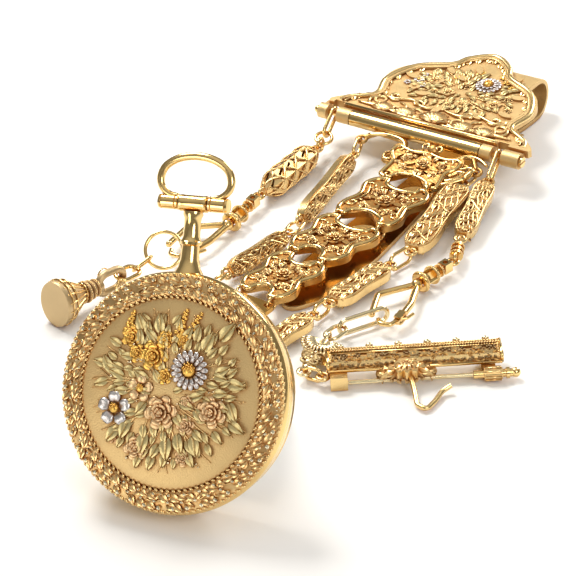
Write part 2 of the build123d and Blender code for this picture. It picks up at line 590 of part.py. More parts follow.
def make_bar_brooch(shell_end):
    """The bar with its pin, sliding catch and wire hook, and the ring that joins it to the shell."""
    frame = bar_frame()
    height = bar_high - bar_low
    bar = Location((0, 0, bar_low + height / 2)) * Box(2 * bar_half, bar_depth, height)
    bar = chamfer(bar.edges().filter_by(Axis.X).sort_by(Axis.Z)[-2:], 0.5)
    field = Location((0, 0, bar_high)) * Box(2 * bar_half - 2.6, bar_depth - 2.6, 0.5)
    bar -= field
    added = []
    for number in range(6):
        x = -bar_half + 3.2 + number * (2 * bar_half - 6.4) / 5
        added.append(Location((x, bar_depth / 2 - 0.25, bar_high)) * Box(1.1, 0.7, 0.5))
    for number in range(7):
        x = -13.2 + number * 4.4
        added += flower(x, 0.5 - 1.0 * (number % 2), 1.15, 5, 0.5, bar_high - 0.3)
    # Fittings under the bar, both on the table: the pin's block on the left, the catch's on the right
    added.append(Location((-bar_half + 2.4, -1.9, bar_low / 2 + 0.05)) * Box(3.6, 7.6, bar_low + 0.1))
    added.append(Location((bar_half - 3.2, -0.6, bar_low / 2 + 0.05)) * Box(3.0, 4.4, bar_low + 0.1))
    added.append(Location((bar_half - 3.2, -3.4, pin_level)) * Box(2.0, 2.6, 0.9))
    seat = Location((catch_start + 4.1, pin_line, pin_level), (0, 90, 0))
    added.append(seat * Cylinder(1.3, 3.8))
    # Leaf ornament over the middle of the front edge, with the wire hook below it
    for turn, reach in ((-150, 4.6), (-118, 4.4), (-90, 4.2), (-62, 4.4), (-30, 4.6)):
        added.append(Location((-1.9, -2.6, bar_low - 0.4), (0, 0, turn)) * petal(reach, 2.2, 1.6))
    added += flower(-1.9, -3.4, 1.9, 6, 1.6, bar_low)
    hook = [(-1.4, -4.6, bar_low), (-0.8, -9.2, 1.6), (-0.6, -13.6, 0.75), (1.2, -15.4, 0.7),
            (3.2, -12.6, 0.7), (5.0, -9.4, 0.9), (6.9, -8.6, 1.6)]
    added.append(bent_wire(hook, (2.0, 1.6, 0.9, 0.9, 2.0), 0.55))
    bar += added
    bar -= seat * Cylinder(catch_radius + 0.07, 8)
    bar -= Location((-bar_half + 2.4, pin_line, pin_level), (0, 90, 0)) * Cylinder(0.55, 5)
    # Eye at the bar's left end, for the ring that hangs from the shell
    eye_height = 2.2
    bar += Location((-bar_half - 0.9, -3.4, eye_height)) * Torus(1.15, 0.45)
    pieces["brooch_bar"] = frame * bar
    pieces["brooch_pin"] = frame * pin_rod(-bar_half + 0.9, catch_start + 1.9, 0.45)
    tube = pin_rod(catch_start, catch_start + 8.2, catch_radius)
    tube += pin_rod(catch_start + 6.8, catch_start + 7.5, 1.2)
    tube += Location((catch_start + 8.8, pin_line, pin_level)) * Sphere(1.05)
    tube -= pin_rod(catch_start - 1, catch_start + 3.0, 0.58)
    pieces["pin_catch"] = frame * tube
    bar_eye = (frame * Location((-bar_half - 0.9, -3.4, eye_height))).position
    way = (bar_eye - shell_end).normalized()
    start, end = shell_end + way * 0.6, bar_eye - way * 0.6
    pieces["fob_ring"] = loop_link(tuple(start), tuple(end), (-way.Y, way.X, 0), 1.4, 0.38)


# Watch, in its own frame: Z out of the decorated back, Y towards the pendant
pendant_level = -1.4            # the pendant's middle, from the case's middle plane
knuckle_level = 36.8            # the bow's axle above the watch's centre
knuckle_half = 3.0
axle_radius = 0.7
# The bouquet's flowers as place, radius, petals and level, and its leaves as place, direction and level
watch_flowers = ((3.6, 4.0, 3.7, 12, 4.5), (-11.6, -4.2, 2.6, 6, 3.9), (-3.8, 6.4, 3.3, 7, 4.4),
                 (-1.6, -3.4, 3.6, 6, 4.6), (8.0, -2.2, 3.0, 6, 4.2), (-8.2, 10.8, 2.2, 5, 3.6),
                 (-6.6, 0.4, 2.4, 6, 4.4), (3.6, 11.6, 1.8, 5, 3.6), (-6.4, -12.2, 2.0, 5, 3.4))
watch_leaves = ((9.6, 2.4, 10, 3.9), (8.8, 7.2, 45, 3.4), (-12.4, 3.6, 150, 3.5),
                (-8.6, -8.6, 215, 3.5), (2.0, -8.2, 280, 3.9), (8.4, -8.4, 320, 3.4),
                (-2.8, 12.0, 100, 3.4), (-1.0, -12.4, 250, 3.2))


def watch_frame(height):
    turn, lean = radians(watch_turn), radians(watch_lean)
    outward = Vector(sin(turn) * cos(lean), -cos(turn) * cos(lean), sin(lean))
    rise = Vector(-sin(turn) * sin(lean), cos(turn) * sin(lean), cos(lean))
    side = rise.cross(outward)
    roll = radians(watch_roll)
    side_rolled = side * cos(roll) + rise * sin(roll)
    return Plane(origin=(watch_place[0], watch_place[1], height), x_dir=side_rolled, z_dir=outward).location


def turned_solid(points):
    """A solid turned about Z from its half section, points given as radius and level."""
    return revolve(Plane.XZ * make_face(Polyline(*points, close=True)), Axis.Z)


def axle_rod(low_x, high_x, radius):
    return rod((low_x, knuckle_level, pendant_level), (high_x, knuckle_level, pendant_level), radius)


def make_watch_parts():
    dome = [(0, 4.9), (8, 4.6), (14, 3.9), (18.2, 3.0)]
    rim = [(18.9, 3.4), (19.6, 2.9), (22.2, 2.2), (23.1, 2.0), (watch_radius, 1.2), (watch_radius, 0.2)]
    band = [(23.1, -0.6), (23.0, -3.4), (21.8, -4.4), (19.9, -4.4), (19.9, -2.4), (0, -2.4)]
    case = turned_solid(dome + rim + band)
    added = []
    for x, y, size, petals, level in watch_flowers:
        added += flower(x, y, size, petals, 0.9, level - 0.35)
    for x, y, angle, level in watch_leaves:
        added.append(leaf(x, y, angle, 4.4, 2.0, 0.9, level - 0.4))
    bead_ring = Location((0, 0, 2.1)) * Torus(22.6, 0.5)
    stem = rod((0, 22.6, pendant_level), (0, knuckle_level - 1.2, pendant_level), 1.75)
    flare = Location((0, 23.9, pendant_level), (-90, 0, 0)) * Cone(3.1, 1.8, 2.6)
    collar = Location((0, 29.6, pendant_level), (-90, 0, 0)) * Cylinder(2.0, 0.8)
    case += added + [bead_ring, stem, flare, collar, axle_rod(-knuckle_half, knuckle_half, 1.65)]
    case -= axle_rod(-knuckle_half - 1, knuckle_half + 1, axle_radius + 0.05)
    bezel = turned_solid([(19.9, -4.55), (21.9, -4.55), (22.6, -5.2), (22.2, -6.6), (20.6, -7.4),
                          (19.4, -7.1), (19.4, -6.2), (19.9, -5.6)])
    glass = turned_solid([(0, -8.6), (8, -8.3), (14, -7.5), (19.2, -6.1), (19.2, -5.4), (14, -6.8),
                          (8, -7.6), (0, -7.9)])
    dial = turned_solid([(0, -2.55), (19.7, -2.55), (19.7, -3.1), (15, -3.3), (0, -3.5)])
    return case, bezel, glass, dial


def make_bow():
    """Wide oval bow with two sleeves on an axle through the pendant's knuckle."""
    low = knuckle_level
    path = Spline((-6.2, low + 0.4), (-7.2, low + 3.6), (-5.2, low + 7.6), (0, low + 9.1), (5.2, low + 7.6),
                  (7.2, low + 3.6), (6.2, low + 0.4), tangents=[(-0.45, 0.9), (-0.45, -0.9)])
    section = Plane(origin=path @ 0, z_dir=path % 0) * Circle(0.85)
    arch = Location((0, 0, pendant_level)) * sweep(section, path=path)
    sleeves = [axle_rod(side * (knuckle_half + 0.1), side * 7.2, 1.45) for side in (-1, 1)]
    return arch + sleeves + [axle_rod(-knuckle_half - 0.5, knuckle_half + 0.5, axle_radius)]


def make_rest(frame):
    """Plain wedge on the table behind the watch, hollowed round its glass."""
    low = (frame * Location((-6.0, 0, -7.55))).position
    wedge = Location((low.X, low.Y + 14.0, 16.0), (0, 0, watch_turn)) * Box(24, 22, 32)
    wedge -= frame * Location((0, 0, 32.5)) * Box(90, 90, 80)
    wedge -= frame * Location((0, 0, -8.6)) * Cylinder(19.6, 3.0)
    back = Location((low.X, low.Y + 24.0, 26.0), (38, 0, watch_turn)) * Box(60, 20, 80)
    return wedge - back


def make_watch():
    case, bezel, glass, dial = make_watch_parts()
    lowest = (watch_frame(0) * bezel).bounding_box().min.Z
    lowest = min(lowest, (watch_frame(0) * case).bounding_box().min.Z)
    frame = watch_frame(-lowest)
    pieces["watch_case"] = frame * case
    pieces["watch_bezel"] = frame * bezel
    pieces["watch_glass"] = frame * glass
    pieces["watch_dial"] = frame * dial
    pieces["watch_bow"] = frame * make_bow()
    pieces["watch_rest"] = make_rest(frame)
    return frame


def place_everything():
    pieces["hook_plate"] = make_hook_plate()
    pieces["hinge_pin"] = make_hinge_pin()
    make_central_drop()
    make_left_chain()
    make_seal_chain()
    make_inner_chains()
    make_right_chain()
    shell_end = make_shell_fob()
    make_bar_brooch(shell_end)
    return make_watch()


def settle():
    """Move every piece so that the middle of the whole box's foot is the origin."""
    boxes = [shape.bounding_box() for shape in pieces.values()]
    middle_x = (min(box.min.X for box in boxes) + max(box.max.X for box in boxes)) / 2
    middle_y = (min(box.min.Y for box in boxes) + max(box.max.Y for box in boxes)) / 2
    low_z = min(box.min.Z for box in boxes)
    shift = Location((-middle_x, -middle_y, -low_z))
    print("shift", round(-middle_x, 4), round(-middle_y, 4), round(-low_z, 4))
    for name in pieces:
        pieces[name] = shift * pieces[name]
    return shift


watch_location = place_everything()
shift = settle()
pivots = {"watch_bow": shift * watch_location * Location((0, knuckle_level, pendant_level)),
          "left_gate": shift * span(left_base, left_tip)[0] * Location(pivot),
          "right_gate": shift * span(right_base, right_tip)[0] * Location(pivot),
          "pin_catch": shift * bar_frame() * Location((catch_start, pin_line, pin_level))}
for name, place in pivots.items():
    axes = Plane(place)
    print(name, [round(value, 4) for value in place.position], [round(value, 5) for value in axes.x_dir])
os.makedirs("parts", exist_ok=True)
for name, shape in pieces.items():
    export_step(shape, f"parts/{name}.step")
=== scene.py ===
import json
import random
from math import atan2, cos, pi, radians, sin, sqrt

import bmesh
import bpy
from mathutils import Matrix, Vector


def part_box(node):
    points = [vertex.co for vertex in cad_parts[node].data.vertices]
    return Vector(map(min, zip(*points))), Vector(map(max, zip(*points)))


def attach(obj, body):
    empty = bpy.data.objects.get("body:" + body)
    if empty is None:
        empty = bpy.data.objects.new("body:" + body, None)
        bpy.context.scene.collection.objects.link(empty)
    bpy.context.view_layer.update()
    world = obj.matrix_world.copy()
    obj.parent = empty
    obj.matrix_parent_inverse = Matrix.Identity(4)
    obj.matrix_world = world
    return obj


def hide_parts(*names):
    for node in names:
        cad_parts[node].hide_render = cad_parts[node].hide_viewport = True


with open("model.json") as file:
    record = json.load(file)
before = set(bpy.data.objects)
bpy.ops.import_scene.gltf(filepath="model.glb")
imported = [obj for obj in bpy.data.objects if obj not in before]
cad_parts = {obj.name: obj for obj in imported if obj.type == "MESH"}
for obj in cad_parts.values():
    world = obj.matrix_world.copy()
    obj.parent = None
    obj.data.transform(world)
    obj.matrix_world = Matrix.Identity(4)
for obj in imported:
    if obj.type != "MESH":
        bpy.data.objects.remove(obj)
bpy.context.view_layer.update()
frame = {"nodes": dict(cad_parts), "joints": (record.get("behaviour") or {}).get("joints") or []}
mm = 0.001
rest = "chatelaine"             # the body that carries everything but the bow, the gates and the catch
dice = random.Random(11)

# The layout's own origin is on the table under the hinge, and the hinge pin's box tells where that is
pinLow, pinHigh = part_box("hinge_pin")
pinReach = 31.1                 # from the layout's origin to the pin's left end
layoutOrigin = Vector((pinLow.x + pinReach * mm, (pinLow.y + pinHigh.y) / 2, 0))


def at(x, y, z=0.0):            # a layout point, in millimetres, as a place in the frame
    return layoutOrigin + Vector((x, y, z)) * mm


def turnedTo(origin, xWay, zWay):       # a matrix with its X and Z along two ways
    x = Vector(xWay).normalized()
    z = Vector(zWay) - x * Vector(zWay).dot(x)
    z.normalize()
    y = z.cross(x)
    return Matrix.Translation(origin) @ Matrix((x, y, z)).transposed().to_4x4()


def spanning(start, end, up=(0, 0, 1)):         # the frame of a link that runs from start to end
    near, far = at(*start), at(*end)
    return turnedTo(near, far - near, up), (far - near).length / mm


# Camera and light
camera = dict(elevation=32.11, turn=33.78, roll=-2.89, distance=600.0, target=(-0.55, -61.25, 0),
              focalPixels=2728.97, picturePixels=576, sensor=36.0)


def buildCamera():
    row = camera
    up, turnAngle, roll = radians(row["elevation"]), radians(row["turn"]), radians(row["roll"])
    back = Vector((sin(turnAngle) * cos(up), -cos(turnAngle) * cos(up), sin(up)))
    level = Vector((cos(turnAngle), sin(turnAngle), 0))
    rise = back.cross(level)
    right = level * cos(roll) + rise * sin(roll)
    top = rise * cos(roll) - level * sin(roll)
    data = bpy.data.cameras.new("viewCamera")
    data.sensor_width = row["sensor"]
    data.lens = row["focalPixels"] / row["picturePixels"] * row["sensor"]
    data.clip_start = 0.01
    holder = bpy.data.objects.new("viewCamera", data)
    bpy.context.collection.objects.link(holder)
    axes = Matrix((right, top, back)).transposed().to_4x4()
    holder.matrix_world = Matrix.Translation(at(*row["target"]) + back * row["distance"] * mm) @ axes
    bpy.context.scene.camera = holder


lamps = [
    dict(name="keyLamp", place=(-260, 60, 420), size=240, power=2.3, tint=(1.0, 0.97, 0.92)),
    dict(name="fillLamp", place=(340, -260, 260), size=200, power=0.6, tint=(1.0, 0.98, 0.95)),
    dict(name="rimLamp", place=(60, 420, 240), size=240, power=1.5, tint=(1.0, 0.99, 0.97)),
    dict(name="lowLamp", place=(-60, -460, 90), size=160, power=0.25, tint=(1.0, 0.96, 0.9)),
]
room = dict(strength=0.62, stops=[(0.0, (0.30, 0.28, 0.26, 1)), (0.46, (0.10, 0.085, 0.07, 1)),
                                 (0.56, (0.42, 0.40, 0.37, 1)), (0.74, (0.30, 0.29, 0.27, 1)),
                                 (1.0, (1.1, 1.08, 1.05, 1))])


def buildLight():
    bpy.context.scene.view_settings.view_transform = "Standard"
    aim = at(0, -60, 10)
    for row in lamps:
        data = bpy.data.lights.new(row["name"], "AREA")
        data.shape = "DISK"
        data.size = row["size"] * mm
        data.energy = row["power"]
        data.color = row["tint"]
        lamp = bpy.data.objects.new(row["name"], data)
        bpy.context.collection.objects.link(lamp)
        lamp.location = at(*row["place"])
        lamp.rotation_euler = (aim - lamp.location).to_track_quat("-Z", "Y").to_euler()
    world = bpy.data.worlds.new("softRoom")
    bpy.context.scene.world = world
    world.use_nodes = True
    world.node_tree.nodes.clear()
    wire = Wire(world.node_tree)
    way = wire.node("ShaderNodeTexCoord", out="Generated")
    height = wire.node("ShaderNodeSeparateXYZ", inputs={"Vector": way}, out="Z") * 0.5 + 0.5
    sky = wire.node("ShaderNodeValToRGB", dict(stops=room["stops"]), {"Fac": height}, out="Color")
    lit = wire.node("ShaderNodeBackground", inputs={"Color": sky, "Strength": room["strength"]})
    wire.node("ShaderNodeOutputWorld", inputs={"Surface": lit}, out=None)


class Wire:                     # an output socket that can stand in sums, and the way to add nodes
    def __init__(self, tree, socket=None):
        self.tree = tree
        self.socket = socket

    def node(self, kind, settings=None, inputs=None, out=0):
        made = self.tree.nodes.new(kind)
        for key, value in (settings or {}).items():
            if key == "stops":
                ramp = made.color_ramp
                while len(ramp.elements) < len(value):
                    ramp.elements.new(0.5)
                for stop, (place, colour) in zip(ramp.elements, value):
                    stop.position = place
                    stop.color = colour
            else:
                setattr(made, key, value)
        for key, value in (inputs or {}).items():
            if isinstance(value, Wire):
                self.tree.links.new(value.socket, made.inputs[key])
            else:
                made.inputs[key].default_value = value
        return None if out is None else Wire(self.tree, made.outputs[out])

    def sums(self, operation, first, second):
        return self.node("ShaderNodeMath", dict(operation=operation), {0: first, 1: second})

    def __add__(self, other):
        return self.sums("ADD", self, other)

    def __radd__(self, other):
        return self.sums("ADD", other, self)

    def __sub__(self, other):
        return self.sums("SUBTRACT", self, other)

    def __rsub__(self, other):
        return self.sums("SUBTRACT", other, self)

    def __mul__(self, other):
        return self.sums("MULTIPLY", self, other)

    def __rmul__(self, other):
        return self.sums("MULTIPLY", other, self)

    def __pow__(self, other):
        return self.sums("POWER", self, other)

    def held(self):             # the value kept between 0 and 1
        return self.node("ShaderNodeClamp", inputs={0: self})

    def tint(self, low, high):  # a colour between two, by this value
        return self.node("ShaderNodeMix", dict(data_type="RGBA"), {0: self, 6: low, 7: high}, out=2)


def shade(tone, amount):        # a colour made darker or lighter, as a socket takes it
    return tuple(min(part * amount, 1.0) for part in tone) + (1.0,)


# tone is the metal's colour, rough its base roughness, recess how dark the painted shade in its hollows
# gets, grain the height of its punched texture and pitch that texture's fineness
finishes = {
    "polishedGold": dict(tone=(0.92, 0.65, 0.27), rough=0.16, recess=0.7, grain=0.0, pitch=900),
    "satinGold": dict(tone=(0.88, 0.64, 0.29), rough=0.27, recess=0.9, grain=0.10, pitch=1500),
    "chasedGold": dict(tone=(0.86, 0.62, 0.29), rough=0.30, recess=1.3, grain=0.45, pitch=1300),
    "stippledGold": dict(tone=(0.74, 0.53, 0.25), rough=0.50, recess=1.2, grain=0.60, pitch=3000),
    "matteGold": dict(tone=(0.62, 0.46, 0.25), rough=0.48, recess=0.8, grain=0.20, pitch=2200),
    "umberGold": dict(tone=(0.36, 0.26, 0.13), rough=0.45, recess=2.0, grain=1.0, pitch=1700),
    "deepGold": dict(tone=(0.60, 0.36, 0.12), rough=0.36, recess=1.8, grain=0.80, pitch=1500),
    # a paler, shinier copy of the gold: a painted highlight for glints and bright beads
    "brightGold": dict(tone=(1.0, 0.88, 0.60), rough=0.10, recess=0.5, grain=0.0, pitch=900),
    "richGold": dict(tone=(0.92, 0.58, 0.14), rough=0.32, recess=1.1, grain=0.30, pitch=1800),
    "roseGold": dict(tone=(0.84, 0.60, 0.33), rough=0.38, recess=1.3, grain=0.40, pitch=1800),
    "greenGold": dict(tone=(0.68, 0.56, 0.27), rough=0.42, recess=1.2, grain=0.40, pitch=1800),
    "whiteGold": dict(tone=(0.68, 0.66, 0.65), rough=0.36, recess=0.9, grain=0.40, pitch=2400),
    "paleGold": dict(tone=(0.90, 0.76, 0.46), rough=0.22, recess=1.0, grain=0.05, pitch=1200),
    "brownGold": dict(tone=(0.72, 0.40, 0.10), rough=0.22, recess=0.8, grain=0.05, pitch=700),
    "granulatedGold": dict(tone=(0.52, 0.40, 0.20), rough=0.42, recess=2.0, grain=1.0, pitch=1700),
}
# painted shade in hollows and creases: how far the occlusion node looks, its samples, and the brown shade
# tone painted there
hollowShade = dict(reach=1.2, samples=6, tone=(0.30, 0.15, 0.045))
shaders = {}


def newShader(name):
    material = bpy.data.materials.new(name)
    material.use_nodes = True
    material.node_tree.nodes.clear()
    shaders[name] = material
    return Wire(material.node_tree)


def closeShader(wire, inputs):
    surface = wire.node("ShaderNodeBsdfPrincipled", inputs=inputs)
    wire.node("ShaderNodeOutputMaterial", inputs={"Surface": surface}, out=None)


def buildGold(name, row):
    wire = newShader(name)
    place = wire.node("ShaderNodeTexCoord", out="Object")
    pitch = float(row["pitch"])
    broad = wire.node("ShaderNodeTexNoise", inputs={"Vector": place, "Scale": 160.0, "Detail": 3.0})
    fine = wire.node("ShaderNodeTexNoise", inputs={"Vector": place, "Scale": pitch, "Detail": 2.0})
    punch = wire.node("ShaderNodeTexVoronoi", inputs={"Vector": place, "Scale": pitch}, out="Distance")
    reach = {"Distance": hollowShade["reach"] * mm}
    # painted shade: where the occlusion node finds the surface closed in, the colour goes to the brown shade
    # tone and the roughness rises
    opened = wire.node("ShaderNodeAmbientOcclusion", dict(samples=hollowShade["samples"]), reach, out="AO")
    unshaded = (opened ** row["recess"]).held()
    tone = row["tone"]
    dark = shade([a * b * 2 for a, b in zip(tone, hollowShade["tone"])], 1.0)
    body = (broad * 1.6 - 0.3).held().tint(shade(tone, 0.86), shade(tone, 1.03))
    height = punch * row["grain"] + fine * (0.10 + 0.25 * row["grain"])
    inputs = {"Height": height, "Strength": 0.2 + 0.5 * row["grain"], "Distance": 0.12 * mm}
    bump = wire.node("ShaderNodeBump", inputs=inputs)
    rough = broad * 0.10 + (row["rough"] - 0.05) + (1 - unshaded) * 0.25
    closeShader(wire, {"Base Color": unshaded.tint(dark, body), "Roughness": rough, "Metallic": 1.0,
                       "Normal": bump})


def buildPlain(name, tone, rough, pitch):
    wire = newShader(name)
    place = wire.node("ShaderNodeTexCoord", out="Object")
    cloud = wire.node("ShaderNodeTexNoise", inputs={"Vector": place, "Scale": pitch, "Detail": 4.0})
    bump = wire.node("ShaderNodeBump", inputs={"Height": cloud, "Strength": 0.15, "Distance": 0.1 * mm})
    colour = cloud.tint(shade(tone, 0.96), shade(tone, 1.02))
    closeShader(wire, {"Base Color": colour, "Roughness": cloud * 0.08 + rough, "Normal": bump})


def buildGlass():
    wire = newShader("clearGlass")
    place = wire.node("ShaderNodeTexCoord", out="Object")
    haze = wire.node("ShaderNodeTexNoise", inputs={"Vector": place, "Scale": 90.0})
    inputs = {"Base Color": (0.97, 0.98, 1.0, 1), "Roughness": haze * 0.04 + 0.01, "Alpha": 0.16, "IOR": 1.5}
    closeShader(wire, inputs)


# Modelling by hand: small steps that every piece uses
def deselect():
    if bpy.context.mode != "OBJECT":
        bpy.ops.object.mode_set(mode="OBJECT")
    bpy.ops.object.select_all(action="DESELECT")


def pick(piece):
    deselect()
    piece.select_set(True)
    bpy.context.view_layer.objects.active = piece


def edit(piece, kind="VERT"):
    pick(piece)
    bpy.ops.object.mode_set(mode="EDIT")
    bpy.ops.mesh.select_mode(type=kind)


def choose(piece, test):        # selects in edit mode the points that pass the test, given in millimetres
    points = bmesh.from_edit_mesh(piece.data)
    for point in points.verts:
        point.select_set(test(point.co / mm))
    points.select_flush_mode()
    bmesh.update_edit_mesh(piece.data)


def tidyNormals(piece, merge=0.004):
    edit(piece)
    bpy.ops.mesh.select_all(action="SELECT")
    bpy.ops.mesh.remove_doubles(threshold=merge * mm)
    bpy.ops.mesh.normals_make_consistent(inside=False)
    deselect()


def smooth(piece, degrees=35):
    pick(piece)
    bpy.ops.object.shade_smooth_by_angle(angle=radians(degrees))


def twin(piece, matrix):
    double = piece.copy()
    double.data = piece.data.copy()
    bpy.context.collection.objects.link(double)
    double.data.transform(matrix)
    return double


def join(pieces, name):
    deselect()
    for piece in pieces:
        piece.select_set(True)
    bpy.context.view_layer.objects.active = pieces[0]
    if len(pieces) > 1:
        bpy.ops.object.join()
    whole = bpy.context.view_layer.objects.active
    whole.name = name
    whole.data.name = name
    return whole


def drop(*pieces):
    for piece in pieces:
        bpy.data.objects.remove(piece)


def finishPiece(piece, finish, base=None, body=rest, replaced=()):
    if base is not None:
        piece.data.transform(base)
    piece.data.materials.clear()
    piece.data.materials.append(shaders[finish])
    for face in piece.data.polygons:
        face.material_index = 0
    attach(piece, body)
    if replaced:
        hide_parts(*replaced)


def turn(profile, sides=64):    # a turned form about Z: rings pulled up and resized one after another
    deselect()
    radius, level = profile[0]
    bpy.ops.mesh.primitive_circle_add(vertices=sides, radius=radius * mm, fill_type="NGON",
                                      location=(0, 0, 0))
    piece = bpy.context.object
    edit(piece, "FACE")
    bpy.ops.mesh.select_all(action="SELECT")
    bpy.ops.transform.translate(value=(0, 0, level * mm))
    for (nearRadius, nearLevel), (farRadius, farLevel) in zip(profile, profile[1:]):
        step = (0, 0, (farLevel - nearLevel) * mm)
        bpy.ops.mesh.extrude_region_move(TRANSFORM_OT_translate={"value": step})
        share = farRadius / nearRadius
        bpy.ops.transform.resize(value=(share, share, 1))
    tidyNormals(piece)
    smooth(piece)
    return piece


def ball(sides=10, rings=6, size=(1, 1, 1), place=(0, 0, 0)):
    deselect()
    bpy.ops.mesh.primitive_uv_sphere_add(segments=sides, ring_count=rings, radius=mm, location=(0, 0, 0))
    piece = bpy.context.object
    edit(piece)
    bpy.ops.mesh.select_all(action="SELECT")
    bpy.ops.transform.resize(value=size)
    bpy.ops.transform.translate(value=[part * mm for part in place])
    pick(piece)
    bpy.ops.object.shade_smooth()
    return piece


def through(points, steps=5, closed=False):     # a smooth run of places through the given ones
    places = [Vector(point) for point in points]
    count = len(places)
    run = []
    for number in range(count if closed else count - 1):
        near = []
        for offset in (-1, 0, 1, 2):
            which = number + offset
            near.append(places[which % count if closed else min(max(which, 0), count - 1)])
        a, b, c, d = near
        for step in range(steps):
            t = step / steps
            bend = (a * 2 - b * 5 + c * 4 - d) * t * t + (b * 3 - a - c * 3 + d) * t ** 3
            run.append((b * 2 + (c - a) * t + bend) / 2)
    if not closed:
        run.append(places[-1])
    return run


def wires(runs, radius, sides=1, closed=False, tips=1.0):       # round wires along runs of places
    line = bpy.data.curves.new("wires", "CURVE")
    line.dimensions = "3D"
    line.bevel_depth = radius * mm
    line.bevel_resolution = sides
    line.use_fill_caps = True
    for run in runs:
        thread = line.splines.new("POLY")
        thread.points.add(len(run) - 1)
        thread.use_cyclic_u = closed
        last = len(run) - 1
        for number, (knot, place) in enumerate(zip(thread.points, run)):
            knot.co = (place[0] * mm, place[1] * mm, place[2] * mm, 1)
            ends = min(number, last - number) / max(last, 1) * 4
            knot.radius = 1.0 if closed else tips + (1 - tips) * min(ends, 1.0)
    holder = bpy.data.objects.new("wires", line)
    bpy.context.collection.objects.link(holder)
    pick(holder)
    bpy.ops.object.convert(target="MESH")
    piece = bpy.context.object
    tidyNormals(piece)
    pick(piece)
    bpy.ops.object.shade_smooth()
    return piece


def scroll(x, y, size, start, sweep, level=0.0, wind=0.78):     # a curl that winds into its own eye
    points = []
    for step in range(15):
        share = step / 14
        reach = size * (1 - wind * share)
        angle = radians(start + sweep * share)
        points.append((x + reach * cos(angle), y + reach * sin(angle), level))
    return points


def mirroredCurl(row, side, level):     # a curl of x, y, size, start and sweep, or its mirrored twin
    x, y, size, start, sweep = row
    return scroll(side * x, y, size, start if side > 0 else 180 - start, sweep * side, level)


# Petals, flowers and leaves, each modelled once at a radius or length of 1 mm and copied to its places
def makePetal(length, width, thick, dip, start, tilt=0.0, sides=8):
    petal = ball(sides, 5, (length / 2, width / 2, thick / 2), (start + length / 2, 0, 0))
    edit(petal)
    choose(petal, lambda p: p.z > 0 and abs(p.y) < width * 0.2)
    bpy.ops.transform.translate(value=(0, 0, -dip * mm))
    choose(petal, lambda p: p.x > start + length * 0.9)
    bpy.ops.transform.translate(value=(-0.05 * length * mm, 0, 0))
    bpy.ops.mesh.select_all(action="SELECT")
    bpy.ops.transform.rotate(value=radians(tilt), orient_axis="Y", center_override=(start * mm, 0, 0))
    deselect()
    return petal


def ringOf(piece, count, phase=0.0, lift=0.0):
    copies = []
    for number in range(count):
        around = Matrix.Rotation(2 * pi * (number + phase) / count, 4, "Z")
        copies.append(twin(piece, around @ Matrix.Translation((0, 0, lift * mm))))
    drop(piece)
    return copies


def makeDaisy():
    outer = ringOf(makePetal(0.62, 0.27, 0.16, 0.05, 0.36, 5), 17, lift=0.10)
    inner = ringOf(makePetal(0.44, 0.20, 0.14, 0.03, 0.30, 18), 13, phase=0.4, lift=0.17)
    return join(outer + inner, "daisyPetals")


def makeHeart():
    grains = [ball(14, 7, (0.34, 0.34, 0.24), (0, 0, 0.18))]
    for number in range(22):
        spread = 0.31 * sqrt((number + 0.5) / 22)
        angle = number * 2.39996
        height = 0.18 + 0.23 * sqrt(max(0.0, 1 - (spread / 0.34) ** 2))
        grains.append(ball(5, 4, (0.055, 0.055, 0.05), (spread * cos(angle), spread * sin(angle), height)))
    return join(grains, "daisyHeart")


def makeRound():
    return join(ringOf(makePetal(0.70, 0.68, 0.24, 0.10, 0.22, 6), 5, lift=0.12), "roundPetals")


def makeRose():
    parts = []
    layers = [(6, 0.60, 0.62, 8, 0.34, 0.06), (5, 0.52, 0.62, 24, 0.22, 0.14),
              (5, 0.40, 0.50, 42, 0.14, 0.22), (3, 0.28, 0.34, 60, 0.06, 0.30)]
    for number, (count, length, width, tilt, start, lift) in enumerate(layers):
        petal = makePetal(length, width, 0.13, 0.05, start, tilt)
        parts += ringOf(petal, count, phase=0.37 * number, lift=lift)
    parts.append(ball(8, 6, (0.14, 0.14, 0.16), (0, 0, 0.36)))
    return join(parts, "rosePetals")


def makeLeaf():
    rows = 8
    deselect()
    bpy.ops.mesh.primitive_grid_add(x_subdivisions=rows, y_subdivisions=6, size=mm, location=(0, 0, 0))
    leaf = bpy.context.object
    edit(leaf)
    bpy.ops.mesh.select_all(action="SELECT")
    bpy.ops.transform.translate(value=(0.5 * mm, 0, 0))
    for number in range(rows + 1):
        share = number / rows
        width = 0.03 + 0.40 * sin(pi * share ** 0.8) ** 0.9 if 0 < number < rows else 0.02
        choose(leaf, lambda p: abs(p.x - share) < 0.01)
        bpy.ops.transform.resize(value=(1, width, 1), center_override=(share * mm, 0, 0))
        bpy.ops.transform.translate(value=(0, 0, (0.12 * sin(pi * share) + 0.03 * (number % 2)) * mm))
    choose(leaf, lambda p: abs(p.y) < 0.005)
    bpy.ops.transform.translate(value=(0, 0, -0.07 * mm))
    deselect()
    solid = leaf.modifiers.new("thickness", "SOLIDIFY")
    solid.thickness = 0.10 * mm
    pick(leaf)
    bpy.ops.object.modifier_apply(modifier=solid.name)
    tidyNormals(leaf)
    smooth(leaf, 50)
    leaf.name = "leafBlade"
    return leaf


stock = {}


def buildStock():
    stock["daisy"] = makeDaisy()
    stock["heart"] = makeHeart()
    stock["round"] = makeRound()
    stock["rose"] = makeRose()
    stock["leaf"] = makeLeaf()
    stock["bead"] = ball(7, 5, (1, 1, 1))
    stock["grain"] = ball(7, 4, (1.0, 0.5, 0.55))
    print("petals and leaves made")


